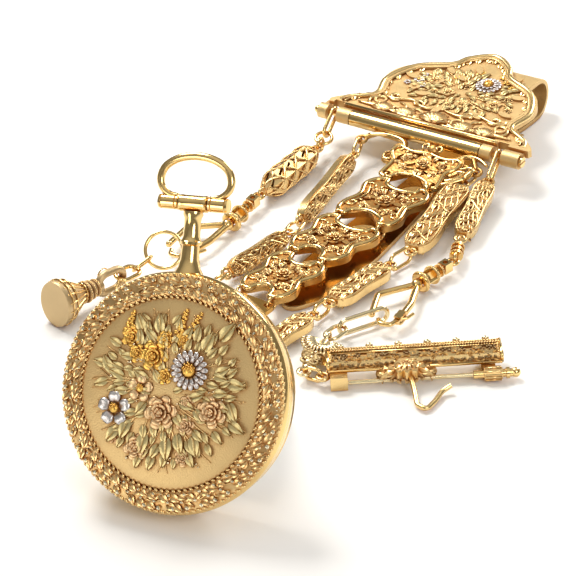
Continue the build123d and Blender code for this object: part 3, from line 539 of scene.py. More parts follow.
def scatter(kind, rows, level=None):    # copies of a stock piece, rows of place, size, angle and height
    copies = []
    for row in rows:
        x, y = row["x"], row["y"]
        height = row.get("z", 0.0) + (level(x, y) if callable(level) else level or 0.0)
        size = row["size"]
        grow = Matrix.Diagonal((size, size * row.get("wide", 1.0), size * row.get("tall", 1.0), 1))
        spin = Matrix.Rotation(radians(row.get("angle", 0.0)), 4, "Z")
        spin = spin @ Matrix.Rotation(-radians(row.get("lean", 0.0)), 4, "Y")
        copies.append(twin(stock[kind], Matrix.Translation((x * mm, y * mm, height * mm)) @ spin @ grow))
    return join(copies, kind)


def rows(text, level=0.0, **more):      # "x y size angle, x y size angle" as rows
    made = []
    for part in text.split(","):
        values = [float(value) for value in part.split()]
        row = dict(x=values[0], y=values[1], size=values[2], z=level)
        if len(values) > 3:
            row["angle"] = values[3]
        row.update(more)
        made.append(row)
    return made


def around(count, radius, size, spin=0.0, phase=0.0, **more):   # rows along a circle
    made = []
    for number in range(count):
        angle = 360 * (number + phase) / count
        row = dict(x=radius * cos(radians(angle)), y=radius * sin(radians(angle)), size=size,
                   angle=angle + spin)
        row.update(more)
        made.append(row)
    return made


def ropeRing(base, x, radius, count, size):     # slanted grains round a collar, about the X axis of base
    copies = []
    for number in range(count):
        spin = Matrix.Rotation(2 * pi * number / count, 4, "X")
        lean = Matrix.Rotation(radians(38), 4, "Z")
        lift = Matrix.Translation((x * mm, 0, radius * mm))
        scale = Matrix.Diagonal((size, size, size, 1))
        copies.append(twin(stock["grain"], base @ spin @ lift @ lean @ scale))
    return copies


# The watch, in its own frame: Z out of the decorated back, Y towards the pendant
watch = dict(
    turn=10.0, lean=30.9, knuckle=36.8, middle=-1.4, field=18.4, top=4.95, fall=1.9,
    body=[(19.9, -2.4), (19.9, -4.4), (21.8, -4.4), (22.6, -4.0), (22.95, -3.4), (23.1, -2.4), (23.1, -1.0),
          (23.0, -0.7), (23.3, -0.4), (23.55, 0.0), (23.6, 0.5), (23.5, 1.0), (23.2, 1.5), (22.9, 1.9),
          (19.4, 2.5), (18.6, 2.6)],
    stem=[(3.2, 22.3), (2.9, 23.2), (2.2, 24.4), (1.85, 26.0), (1.75, 28.6), (2.15, 28.9), (2.2, 29.4),
          (1.85, 29.8), (1.7, 30.4), (1.62, 32.6), (1.7, 34.0), (2.0, 34.6), (1.9, 35.3)],
    knuckleTurned=[(1.2, -3.0), (1.6, -2.85), (1.7, -2.5), (1.62, -2.1), (1.62, 2.1), (1.7, 2.5),
                   (1.6, 2.85), (1.2, 3.0)],
    border=[(18.5, 2.0), (18.9, 3.0), (19.3, 3.1), (20.0, 2.7), (21.6, 2.45), (22.5, 2.2), (23.0, 1.9),
            (23.0, 1.2)],
    fieldRings=12, fieldSides=96, rimSides=144,
)
bowJoint = next(joint for joint in frame["joints"] if joint["name"] == "bow_swing")


def watchFrame():
    turnAngle, lean = radians(watch["turn"]), radians(watch["lean"])
    outward = Vector((sin(turnAngle) * cos(lean), -cos(turnAngle) * cos(lean), sin(lean)))
    side = Vector(bowJoint["axis"])
    rise = outward.cross(side)
    centre = Vector(bowJoint["pos_m"]) - rise * watch["knuckle"] * mm - outward * watch["middle"] * mm
    return turnedTo(centre, side, outward)


def domeLevel(x, y):
    return watch["top"] - watch["fall"] * (x * x + y * y) / watch["field"] ** 2


def buildWatch():
    base = watchFrame()
    axle = Matrix.Translation((0, watch["knuckle"] * mm, watch["middle"] * mm))
    body = turn(watch["body"], watch["rimSides"])
    stem = turn(watch["stem"], 40)
    stem.data.transform(Matrix.Translation((0, 0, watch["middle"] * mm)) @ Matrix.Rotation(-pi / 2, 4, "X"))
    knuckle = turn(watch["knuckleTurned"], 32)
    knuckle.data.transform(axle @ Matrix.Rotation(pi / 2, 4, "Y"))
    whole = join([body, stem, knuckle], "watchBody")
    finishPiece(whole, "polishedGold", base, replaced=["watch_case"])
    profile = [(watch["field"] + 0.3, 2.3)]
    for number in range(watch["fieldRings"]):
        reach = max(watch["field"] * cos(number / watch["fieldRings"] * pi / 2), 0.2)
        profile.append((reach, domeLevel(reach, 0)))
    profile.append((0.05, domeLevel(0, 0)))
    field = turn(profile, watch["fieldSides"])
    field.name = "watchField"
    finishPiece(field, "stippledGold", base)
    border = turn(watch["border"], watch["rimSides"])
    border.name = "watchBorder"
    finishPiece(border, "chasedGold", base)
    buildWatchBorders(base)
    buildWatchBouquet(base)
    buildBow(base)
    buildDial(base)
    print("watch made")


# ropes and beads: how many, at what radius, size and level; leaves: radius, how many, slant
chasedBorder = dict(
    innerRope=(96, 18.7, 0.62), outerRope=(112, 22.85, 0.72), glints=70, curls=28, curlReach=20.7,
    curlSize=1.15, wave=0.5, wire=0.2, crest=3.0, edge=19.3, fall=0.28,
    leaves=((19.5, 60, 64), (20.5, 54, 116), (21.3, 54, 60)),
)


def borderLevel(reach):
    return chasedBorder["crest"] - chasedBorder["fall"] * max(reach - chasedBorder["edge"], 0)


def buildWatchBorders(base):
    row = chasedBorder
    rope = [scatter("grain", around(*row["innerRope"], spin=50, z=3.15)),
            scatter("grain", around(*row["outerRope"], spin=56, z=1.95))]
    finishPiece(join(rope, "watchRopes"), "satinGold", base)
    # bead rows and scattered glints in the paler gold: painted highlights on the beads and painted glints
    # over the border
    sparks = around(46, 22.1, 0.55, z=2.65, phase=0.3)
    sparks += around(46, 20.9, 0.4, z=3.0) + around(38, 19.5, 0.4, z=3.35)
    for number in range(row["glints"]):
        angle, reach = dice.uniform(0, 2 * pi), dice.uniform(19.3, 22.3)
        sparks.append(dict(x=reach * cos(angle), y=reach * sin(angle), z=borderLevel(reach) + 0.22,
                           size=dice.uniform(0.16, 0.3)))
    bright = scatter("bead", sparks)
    bright.name = "watchBeads"
    pick(bright)
    bpy.ops.object.shade_flat()
    finishPiece(bright, "brightGold", base)
    runs = []
    curls = row["curls"]
    for number in range(curls):         # running foliage: curls that turn by turns outwards and inwards
        angle = 360 * (number + 0.5) / curls
        side = 1 if number % 2 else -1
        reach = row["curlReach"] + 0.6 * side
        x, y = reach * cos(radians(angle)), reach * sin(radians(angle))
        runs.append(scroll(x, y, row["curlSize"], angle + 90 * side, 320 * side, borderLevel(reach) + 0.12))
    points = []
    for number in range(curls * 4 + 1):
        angle = 2 * pi * number / (curls * 4)
        reach = 20.6 + row["wave"] * sin(angle * curls / 2)
        points.append((reach * cos(angle), reach * sin(angle), borderLevel(reach) + 0.1))
    runs.append(points)
    scrolls = join([wires(runs, row["wire"], tips=0.5)], "watchBorderScrolls")
    finishPiece(scrolls, "satinGold", base)
    leaves = []
    for reach, count, lean in row["leaves"]:
        for number in range(count):
            angle = 360 * (number + dice.uniform(0.1, 0.9)) / count
            x, y = reach * cos(radians(angle)), reach * sin(radians(angle))
            leaves.append(dict(x=x, y=y, z=borderLevel(reach) + 0.02, size=dice.uniform(2.0, 2.7), lean=4,
                               angle=angle + lean + dice.uniform(-12, 12), tall=1.05, wide=1.35))
    finishPiece(join([scatter("leaf", leaves)], "watchBorderLeaves"), "chasedGold", base)


watchBouquet = dict(
    daisy=rows("4.5 5.0 4.2 5"),
    forget=rows("-10.6 -3.8 4.0 20"),
    pink=rows("-5.4 0.6 3.1 12"),
    yellow=rows("-3.2 7.0 3.5, -8.2 10.2 2.7 30, -1.2 10.4 2.1 60, -6.8 7.2 2.2 12, 2.6 10.6 2.0 40,"
                "-0.6 3.4 1.9 15"),
    rose=rows("-0.8 -3.6 3.9 10, 9.4 -2.6 3.6 40, -5.6 -10.8 3.1 15, 4.4 -5.6 2.2 70, -10.6 -9.4 1.6,"
              "4.2 -11.8 2.1 33, 4.4 -1.2 1.7 20"),
    sprays=rows("9.6 11.0 4.8 50, 11.6 3.4 4.4 -8, 12.6 -0.2 4.2 -62, 9.4 4.6 3.6 28, -12.0 3.0 3.8 120,"
                "-9.0 2.4 3.6 160, -5.8 11.0 4.2 112, -2.4 11.2 4.2 95, 6.6 8.6 4.6 62, -7.4 -5.4 4.4 250,"
                "-3.8 -7.6 4.6 262, 6.0 -7.2 4.4 285, 0.6 -8.0 4.8 275, 2.6 -7.4 4.0 290, -9.6 -7.0 4.2 235,"
                "12.8 -4.0 4.0 -30"),
    spikes=((3.0, 10.8, 5.4, 16.0), (1.4, 11.4, 2.4, 16.4), (-9.4, 11.0, -8.6, 15.2)),
    leaves=120, spread=12.8, stems=46, buds=18, glintBeads=60,
)
goldenTurn = 0.381966                   # leaves laid out like seeds in a flower head


def buildWatchBouquet(base):
    kinds = watchBouquet
    for row in kinds["yellow"] + kinds["rose"] + kinds["pink"]:
        row.update(tall=0.72)
    daisy = scatter("daisy", kinds["daisy"], domeLevel)
    daisy.name = "watchDaisy"
    finishPiece(daisy, "whiteGold", base)
    forget = scatter("round", kinds["forget"], domeLevel)
    forget.name = "watchForgetMeNot"
    finishPiece(forget, "whiteGold", base)
    hearts = [dict(row, size=row["size"] * 0.95) for row in kinds["daisy"]]
    hearts += [dict(row, size=row["size"] * 0.7, z=0.15) for row in kinds["forget"] + kinds["pink"]]
    hearts = scatter("heart", hearts, domeLevel)
    hearts.name = "watchHearts"
    finishPiece(hearts, "richGold", base)
    yellow = scatter("rose", kinds["yellow"], domeLevel)
    yellow.name = "watchYellowRoses"
    finishPiece(yellow, "richGold", base)
    rose = join([scatter("rose", kinds["rose"], domeLevel), scatter("round", kinds["pink"], domeLevel)],
                "watchRoses")
    finishPiece(rose, "roseGold", base)
    sprays = list(kinds["sprays"])
    white = kinds["daisy"] + kinds["forget"]
    for number in range(kinds["leaves"]):
        angle = 360 * number * goldenTurn
        reach = 0.5 + kinds["spread"] * sqrt((number + 0.5) / kinds["leaves"])
        x, y = reach * cos(radians(angle)), reach * sin(radians(angle)) + 0.6
        if any((x - row["x"]) ** 2 + (y - row["y"]) ** 2 < (row["size"] * 0.8) ** 2 for row in white):
            continue
        sprays.append(dict(x=x, y=y, size=dice.uniform(2.2, 3.6), angle=angle + dice.uniform(-40, 40)))
    for row in sprays:
        row.update(z=0.0, lean=3, tall=0.8, wide=1.2)
    leaves = scatter("leaf", sprays, domeLevel)
    leaves.name = "watchLeaves"
    finishPiece(leaves, "greenGold", base)
    stems = []
    for number in range(kinds["stems"]):
        angle = radians(360 * number / kinds["stems"] + dice.uniform(-5, 5))
        bend = dice.uniform(-0.4, 0.4)
        points = []
        for step in range(5):
            reach = (4.0 + 11.6 * step / 4) * dice.uniform(0.95, 1.05)
            way = angle + bend * step / 4
            x, y = reach * cos(way), reach * sin(way) + 0.4
            points.append((x, y, domeLevel(x, y) + 0.1))
        stems.append(through(points, 3))
    finishPiece(join([wires(stems, 0.15, tips=0.4)], "watchStems"), "satinGold", base)
    buds = []
    for footX, footY, tipX, tipY in kinds["spikes"]:
        for number in range(kinds["buds"]):
            share = number / (kinds["buds"] - 1)
            sway = 0.75 * sin(number * 2.4) * (1 - 0.7 * share)
            x, y = footX + (tipX - footX) * share + sway, footY + (tipY - footY) * share
            buds.append(dict(x=x, y=y, z=0.25, size=0.62 - 0.26 * share, wide=1.4))
    buds = scatter("grain", buds, domeLevel)
    buds.name = "watchHyacinths"
    finishPiece(buds, "richGold", base)
    # small beads scattered over the bouquet in the paler gold: painted glints
    sparks = []
    for number in range(kinds["glintBeads"]):
        angle = dice.uniform(0, 2 * pi)
        reach = 15.5 * sqrt(dice.random())
        sparks.append(dict(x=reach * cos(angle), y=reach * sin(angle), z=0.25,
                           size=dice.uniform(0.16, 0.32)))
    sparks = scatter("bead", sparks, domeLevel)
    sparks.name = "watchGlintBeads"
    finishPiece(sparks, "brightGold", base)


bow = dict(wire=0.82, sleeve=1.45, near=3.1, far=7.2, axle=0.7,
           arch=[(-3.4, 1.15), (-5.4, 1.5), (-7.0, 2.9), (-7.35, 4.9), (-6.3, 7.0), (-3.6, 8.6), (0, 9.15)])


def buildBow(base):
    arch = bow["arch"] + [(-x, y) for x, y in reversed(bow["arch"][:-1])]
    pieces = [wires([through([(x, y, 0) for x, y in arch], 6)], bow["wire"], 4, tips=0.75)]
    near, far, sleeve = bow["near"], bow["far"], bow["sleeve"]
    profile = [(0.9, near), (sleeve - 0.15, near), (sleeve, near + 0.15), (sleeve, near + 0.5),
               (sleeve - 0.2, near + 0.65), (sleeve, near + 0.8), (sleeve, far - 0.7),
               (sleeve - 0.15, far - 0.55), (sleeve, far - 0.4), (sleeve - 0.1, far),
               (bow["axle"], far + 0.15)]
    for side in (-1, 1):
        sleevePiece = turn(profile, 40)
        sleevePiece.data.transform(Matrix.Rotation(side * pi / 2, 4, "Y"))
        pieces.append(sleevePiece)
    axle = turn([(bow["axle"], -3.4), (bow["axle"], 3.4)], 24)
    axle.data.transform(Matrix.Rotation(pi / 2, 4, "Y"))
    whole = join(pieces + [axle], "bowRing")
    place = base @ Matrix.Translation((0, watch["knuckle"] * mm, watch["middle"] * mm))
    finishPiece(whole, "polishedGold", place, body="watch_bow", replaced=["watch_bow"])


dial = dict(level=-3.62, numerals=15.2, ticks=18.0, size=3.0, hour=9.5, minute=14.0)


def buildDial(base):
    flip = Matrix.Rotation(pi, 4, "Y")          # the dial faces away from the decorated back
    marks = []
    names = ("XII", "I", "II", "III", "IIII", "V", "VI", "VII", "VIII", "IX", "X", "XI")
    for number, word in enumerate(names):
        letters = bpy.data.curves.new("numeral", "FONT")
        letters.body = word
        letters.align_x = "CENTER"
        letters.align_y = "CENTER"
        letters.size = dial["size"] * mm
        letters.extrude = 0.03 * mm
        holder = bpy.data.objects.new("numeral", letters)
        bpy.context.collection.objects.link(holder)
        pick(holder)
        bpy.ops.object.convert(target="MESH")
        mark = bpy.context.object
        spin = Matrix.Rotation(-2 * pi * number / 12, 4, "Z")
        mark.data.transform(spin @ Matrix.Translation((0, dial["numerals"] * mm, 0)))
        marks.append(mark)
    for number in range(60):
        tick = ball(4, 3, (0.09, 0.45 if number % 5 == 0 else 0.22, 0.05), (0, dial["ticks"], 0))
        tick.data.transform(Matrix.Rotation(2 * pi * number / 60, 4, "Z"))
        marks.append(tick)
    marks = join(marks, "dialMarks")
    marks.data.transform(flip)
    marks.data.transform(Matrix.Translation((0, 0, (dial["level"] + 0.2) * mm)))
    finishPiece(marks, "darkEnamel", base)
    hands = [turn([(0.75, -0.7), (0.75, 0.35), (0.4, 0.5)], 24)]
    for length, angle, level in ((dial["hour"], 55, 0.0), (dial["minute"], -60, 0.18)):
        shape = [(0, -2.0, level), (0, length * 0.6, level), (0, length, level)]
        hand = wires([through(shape, 4)], 0.26, tips=0.4)
        hand.data.transform(Matrix.Rotation(radians(angle), 4, "Z"))
        hands.append(hand)
    hands = join(hands, "dialHands")
    hands.data.transform(flip)
    hands.data.transform(Matrix.Translation((0, 0, (dial["level"] - 0.5) * mm)))
    finishPiece(hands, "polishedGold", base)


# The hook plate, in its own frame: Z out of its face, Y towards its peak
plateEdge = [(-25.6, 3.35), (-24.4, 6.0), (-18.9, 10.0), (-20.0, 17.2), (-16.0, 25.2), (-8.2, 29.6),
             (-5.6, 33.6), (0, 37.0), (5.6, 33.6), (8.2, 29.6), (16.0, 25.2), (20.0, 17.2), (18.9, 10.0),
             (24.4, 6.0), (25.6, 3.35)]
plate = dict(
    place=(-1.6, 0, 7.5), tilt=4.5, middle=14.0, field=1.15,
    curls=((4.6, 6.4, 2.8, 100, -350), (10.6, 6.6, 2.5, 80, 330), (16.6, 7.0, 2.6, 120, -350),
           (13.4, 11.0, 1.9, 200, 320), (7.0, 10.2, 1.8, 230, -320)),
    swirls=([(0, 10.4, 0.3), (5.0, 9.2, 0.45), (9.0, 11.2, 0.3), (14.0, 9.8, 0.4), (18.0, 11.8, 0.2)],
            [(2.0, 4.4, 0.3), (8.0, 4.2, 0.45), (13.0, 5.2, 0.35), (20.6, 5.6, 0.3)]),
    shells=((0.0, 4.6, 4.4), (-7.8, 4.4, 3.4), (7.8, 4.4, 3.4), (-13.6, 4.4, 3.2), (13.6, 4.4, 3.2)),
    roses="-3.0 18.0 2.0 10, 9.6 17.4 2.1 30, 2.6 14.6 2.0 50, -8.4 21.6 2.1 15, -6.4 17.0 1.5 40,"
          "6.4 19.4 1.6 20, -0.6 22.2 1.7 5, 11.6 21.2 1.5 60, 13.8 16.6 1.3 11, -0.6 13.0 1.3 70",
    yellow="8.2 27.4 1.5 10, 10.4 25.2 1.3 40, 6.2 29.0 1.2 70, -3.6 24.8 1.5 20, 0.2 28.6 1.2 20",
    round="-12.2 20.0 1.5 5, -10.0 18.2 1.1 30, -14.2 18.0 1.1 70, -11.8 22.6 1.0 50",
    hearts="4.6 24.0 3.3, -12.2 20.0 1.1, 8.2 27.4 1.0, -3.6 24.8 1.0",
    daisy=(4.6, 24.0), leaves=110, stems=22, centre=19.6,
)


barrel = dict(left=-20.56, right=14.16, radius=1.94, height=7.8)     # the bright skin of the long barrel


def plateShare(share, level):
    return [(x * share, plate["middle"] + (y - plate["middle"]) * share, level) for x, y in plateEdge]


def buildPlate():
    tilt = radians(plate["tilt"])
    base = turnedTo(at(*plate["place"]), (1, 0, 0), (0, -sin(tilt), cos(tilt)))
    top = plate["field"]
    rolls = [wires([through(plateShare(0.975, 1.5), 7)], 0.74, 3, tips=0.7),
             wires([through(plateShare(0.92, 1.6), 7)], 0.36, 2, tips=0.7)]
    finishPiece(join(rolls, "plateRim"), "satinGold", base)
    edge = through(plateShare(0.86, 0), 5)
    foliage = []
    for number in range(2, len(edge) - 2, 2):          # leaves that turn over the inner side of the rim
        way, spot = edge[number + 1] - edge[number - 1], edge[number]
        heading = atan2(way.y, way.x) * 180 / pi
        foliage.append(dict(x=spot.x, y=spot.y, size=2.5, z=0.05, tall=1.2, wide=1.3, lean=6,
                            angle=heading + (48 if spot.x < 0 else 132)))
    finishPiece(join([scatter("leaf", foliage, top)], "plateRimLeaves"), "satinGold", base)
    lip = wires([[(-22.4, 2.75, 1.7), (18.6, 2.75, 1.7)]], 0.5, 3)
    lip.name = "plateLip"
    finishPiece(lip, "polishedGold", base)
    left, right, radius = barrel["left"], barrel["right"], barrel["radius"]
    sleeve = turn([(radius - 0.3, left), (radius, left), (radius, right), (radius - 0.3, right)], 48)
    sleeve.data.transform(Matrix.Rotation(pi / 2, 4, "Y"))
    sleeve.name = "barrelPolish"
    finishPiece(sleeve, "polishedGold", Matrix.Translation(at(0, 0, barrel["height"])))
    runs = []
    for side in (-1, 1):
        for curl in plate["curls"]:
            runs.append(mirroredCurl(curl, side, top + 0.3))
        for swirl in plate["swirls"]:
            runs.append(through([(side * x, y, top + z) for x, y, z in swirl]))
    finishPiece(join([wires(runs, 0.46, 2, tips=0.5)], "plateScrolls"), "satinGold", base)
    shells = []
    for middle, low, size in plate["shells"]:
        for number in range(9):
            shells.append(dict(x=middle, y=low, size=size, angle=90 + (number - 4) * 19, z=0.2, tall=1.2,
                               lean=6))
    flowers = rows(plate["roses"], 0.1, tall=0.8)
    finishPiece(join([scatter("rose", flowers, top)], "plateRoses"), "satinGold", base)
    yellow = scatter("round", rows(plate["yellow"], 0.2), top)
    yellow.name = "plateYellowFlowers"
    finishPiece(yellow, "richGold", base)
    daisyX, daisyY = plate["daisy"]
    white = [scatter("daisy", [dict(x=daisyX, y=daisyY, size=3.5, angle=5, z=0.15)], top),
             scatter("round", rows(plate["round"], 0.2), top)]
    finishPiece(join(white, "plateWhiteFlowers"), "whiteGold", base)
    hearts = scatter("heart", rows(plate["hearts"], 0.25), top)
    hearts.name = "plateHearts"
    finishPiece(hearts, "richGold", base)
    finishPiece(join([scatter("leaf", shells, top)], "plateShells"), "chasedGold", base)
    leaves = []
    for number in range(plate["leaves"]):
        angle = 360 * number * goldenTurn
        reach = sqrt((number + 0.5) / plate["leaves"])
        x, y = 13.0 * reach * cos(radians(angle)), plate["centre"] + 7.6 * reach * sin(radians(angle))
        if (x - daisyX) ** 2 + (y - daisyY) ** 2 > 9:
            leaves.append(dict(x=x, y=y, size=dice.uniform(2.0, 3.3), angle=angle + dice.uniform(-40, 40),
                               z=0.05, tall=1.1, lean=4))
    finishPiece(join([scatter("leaf", leaves, top)], "plateLeaves"), "greenGold", base)
    stems = []
    for number in range(plate["stems"]):
        angle = radians(360 * number / plate["stems"] + dice.uniform(-8, 8))
        points = []
        for step in range(4):
            reach = (0.3 + 0.25 * step) * dice.uniform(0.95, 1.05)
            way = angle + 0.1 * step
            points.append((13 * reach * cos(way), plate["centre"] + 7.8 * reach * sin(way), top + 0.2))
        stems.append(through(points, 3))
    finishPiece(join([wires(stems, 0.16, tips=0.4)], "plateStems"), "satinGold", base)
    print("plate dressed")


# The plaques: rolled scroll borders and flowers over the pierced plates
plaques = dict(
    plaqueTwo=dict(x=2.7, y=-25.4, turn=-4.0, half=8.25, top=11.9, low=12.4, width=8.7),
    plaqueThree=dict(x=0.9, y=-44.7, turn=-8.0, half=7.75, top=12.4, low=9.6, width=8.3),
    plaqueFour=dict(x=-0.7, y=-63.2, turn=-5.0, half=7.75, top=9.6, low=8.6, width=7.3),
)
plaqueLevel = dict(height=3.4, field=0.45, border=0.95)


def bouquet(prefix, base, level, roses, leaves):
    finishPiece(join([scatter("rose", roses, level)], prefix + "Roses"), "satinGold", base)
    finishPiece(join([scatter("leaf", leaves, level)], prefix + "Leaves"), "chasedGold", base)


def dressPlaque(name, row):
    angle = radians(row["turn"])
    base = turnedTo(at(row["x"], row["y"], plaqueLevel["height"]), (cos(angle), sin(angle), 0), (0, 0, 1))
    half, top, low, width = row["half"], row["top"] / 2, row["low"] / 2, row["width"]
    level = plaqueLevel["border"]
    right = [(0.0, half - 2.5), (top - 2.2, half - 1.4), (top - 1.3, half + 0.6), (top + 1.0, half - 0.6),
             (width - 0.7, half - 3.8), (width - 2.3, 0), (width - 1.2, 3.8 - half), (low + 0.9, 0.6 - half),
             (low - 1.3, -0.6 - half), (low - 2.2, 1.6 - half), (0.0, 3.1 - half)]
    edge = [(x, y, level) for x, y in right] + [(-x, y, level) for x, y in reversed(right[1:-1])]
    border = [wires([through(edge, 5, True)], 0.62, 2, closed=True)]
    curls = []
    for side in (-1, 1):
        for curl in ((width - 2.4, half - 4.2, 1.7, 30, 300), (width - 2.7, 4.4 - half, 1.6, -30, -300),
                     (2.6, half - 3.6, 1.5, 80, -300), (2.4, 4.2 - half, 1.4, -80, 300)):
            curls.append(mirroredCurl(curl, side, level + 0.1))
        sweepLine = [(width - 1.6, half - 3.0), (width - 3.4, 1.4), (width - 3.2, -1.6),
                     (width - 2.0, 3.6 - half)]
        curls.append(through([(side * x, y, level + 0.05) for x, y in sweepLine]))
    border.append(wires(curls, 0.32, 2, tips=0.5))
    finishPiece(join(border, name + "Scrolls"), "polishedGold", base)
    roses = rows("0 0.6 2.7 15, -3.9 3.1 1.7, 3.9 3.2 1.7 30, -3.3 -3.4 1.7 20, 3.4 -3.3 1.7 50, 0 4.4 1.2,"
                 "0.2 -4.0 1.2 20", 0.1)
    leaves = []
    for number in range(22):
        way = 360 * number / 22 + dice.uniform(-6, 6)
        reach = dice.uniform(0.5, 0.85)
        x, y = (width - 2.4) * reach * cos(radians(way)), (half - 2.4) * reach * sin(radians(way))
        leaves.append(dict(x=x, y=y, size=dice.uniform(1.6, 2.6), angle=way + dice.uniform(-50, 50), z=0.1,
                           tall=1.8, lean=10))
    bouquet(name, base, plaqueLevel["field"], roses, leaves)


# places along the strip and the half widths there
tongue = dict(middle=4.2, level=1.03, thick=0.06, widths=[
    (24, 7.1), (15, 5.6), (6, 4.75), (-5, 4.75), (-16, 5.15), (-29, 6.2), (-42, 6.85), (-51, 6.6),
    (-60, 5.55), (-64.5, 4.4), (-67.4, 2.3), (-68.6, 0.6)])


def dressTongue():              # a browner sheet laid on the long strip under the plaques
    stations = list(reversed(tongue["widths"]))
    count = len(stations) - 1
    deselect()
    bpy.ops.mesh.primitive_grid_add(x_subdivisions=2, y_subdivisions=count, size=mm, location=(0, 0, 0))
    sheet = bpy.context.object
    edit(sheet)
    for number, (y, half) in enumerate(stations):
        row = number / count - 0.5
        choose(sheet, lambda p: abs(p.y - row) < 0.01)
        bpy.ops.transform.resize(value=(2 * half, 1, 1), center_override=(0, 0, 0))
    for number, (y, half) in enumerate(stations):
        row = number / count - 0.5
        choose(sheet, lambda p: abs(p.y - row) < 0.01 and abs(p.z) < 0.01)
        bpy.ops.transform.translate(value=(0, (y - row) * mm, tongue["level"] * mm))
    deselect()
    solid = sheet.modifiers.new("thickness", "SOLIDIFY")
    solid.thickness = tongue["thick"] * mm
    pick(sheet)
    bpy.ops.object.modifier_apply(modifier=solid.name)
    tidyNormals(sheet)
    sheet.name = "tongueBrownSheet"
    finishPiece(sheet, "brownGold", Matrix.Translation(at(tongue["middle"], 0, 0)))


firstPlaque = dict(
    place=(3.05, -13.85, 3.75), slope=12.0,
    edge=[(0, 1.5), (3.6, 0.6), (5.0, -1.2), (7.2, -0.9), (7.2, 0.9), (6.9, 4.4), (8.7, 7.2), (7.9, 9.5),
          (4.4, 8.8), (0, 9.6)],
    arms=[[(6.2, 8.6), (8.0, 11.6), (11.4, 12.2), (14.6, 10.6)],
          [(-6.2, 8.6), (-8.2, 11.6), (-12.6, 12.4), (-17.4, 11.0)],
          [(8.8, 7.0), (11.6, 8.6), (12.4, 6.2), (10.4, 3.4), (8.2, 1.4), (6.6, 0.4)],
          [(7.8, 4.2), (9.2, 6.2), (10.6, 6.4), (10.4, 4.8), (8.8, 3.0), (7.6, 2.6)]],
    curls=[(-8.8, 5.6, 1.8, 90, 330, 0.7), (-5.6, 8.4, 1.3, 200, -300, 1.0), (5.8, 8.2, 1.3, -20, 300, 1.0),
           (-1.5, 11.3, 1.2, 250, -330, 1.3), (1.5, 11.3, 1.2, -70, 330, 1.3)],
    roses="0.2 6.0 2.2, -4.4 7.0 1.5 20, 4.5 7.0 1.5 40, -4.0 3.3 1.5 60, 4.2 3.2 1.5 10, 0 2.9 1.2 30",
)


def dressFirstPlaque():
    slope = radians(firstPlaque["slope"])
    base = turnedTo(at(*firstPlaque["place"]), (1, 0, 0), (0, -sin(slope), cos(slope)))
    runs = [firstPlaque["edge"], [(-x, y) for x, y in firstPlaque["edge"]]]
    edges = [through([(x, y, 0.95) for x, y in run]) for run in runs]
    edges += [through([(x, y, 0.55) for x, y in run]) for run in firstPlaque["arms"]]
    border = [wires(edges, 0.55, 2, tips=0.6)]
    curls = [scroll(*row) for row in firstPlaque["curls"]]
    border.append(wires(curls, 0.34, 2, tips=0.5))
    finishPiece(join(border, "plaqueOneScrolls"), "polishedGold", base)
    roses = rows(firstPlaque["roses"], 0.1)
    leaves = []
    for number in range(18):
        way = 20 * number + dice.uniform(-6, 6)
        x = 5.4 * cos(radians(way)) * dice.uniform(0.6, 1)
        y = 5.4 + 2.9 * sin(radians(way)) * dice.uniform(0.6, 1)
        leaves.append(dict(x=x, y=y, size=dice.uniform(1.5, 2.3), angle=way + dice.uniform(-50, 50), z=0.1,
                           tall=1.8, lean=10))
    bouquet("plaqueOne", base, plaqueLevel["field"], roses, leaves)


# The side chains: raised waves on the flat links, crossing wires on the spindle, ropes on the collars
bars = [
    dict(name="innerRightOne", width=6.6, thick=1.8, waves=3.0,
         ends=((14.7, -9.2, 4.2), (17.7, -39.4, 2.4), (0, 0, 1))),
    dict(name="innerRightTwo", width=6.0, thick=1.8, waves=2.2,
         ends=((16.4, -45.0, 2.3), (12.7, -66.0, 2.3), (0, 0, 1))),
    dict(name="innerRightThree", width=5.4, thick=1.7, waves=2.0,
         ends=((12.3, -70.4, 2.3), (9.0, -90.0, 2.3), (0, 0, 1))),
    dict(name="innerLeftOne", width=4.6, thick=1.7, waves=3.0,
         ends=((-14.8, -9.0, 3.9), (-11.4, -39.4, 2.3), (0.95, 0, 0.25))),
    dict(name="innerLeftTwo", width=4.4, thick=1.7, waves=2.2,
         ends=((-10.4, -44.4, 2.4), (-13.7, -66.4, 2.4), (0.8, 0, 0.6))),
    dict(name="leafLink", width=5.0, thick=2.0, waves=2.5,
         ends=((19.3, -5.6, 4.4), (24.9, -29.6, 2.6), (0.1, 0.2, 1))),
]
barWork = dict(inset=1.9, shoulder=3.2, wire=0.27, steps=28, sprigs=12)


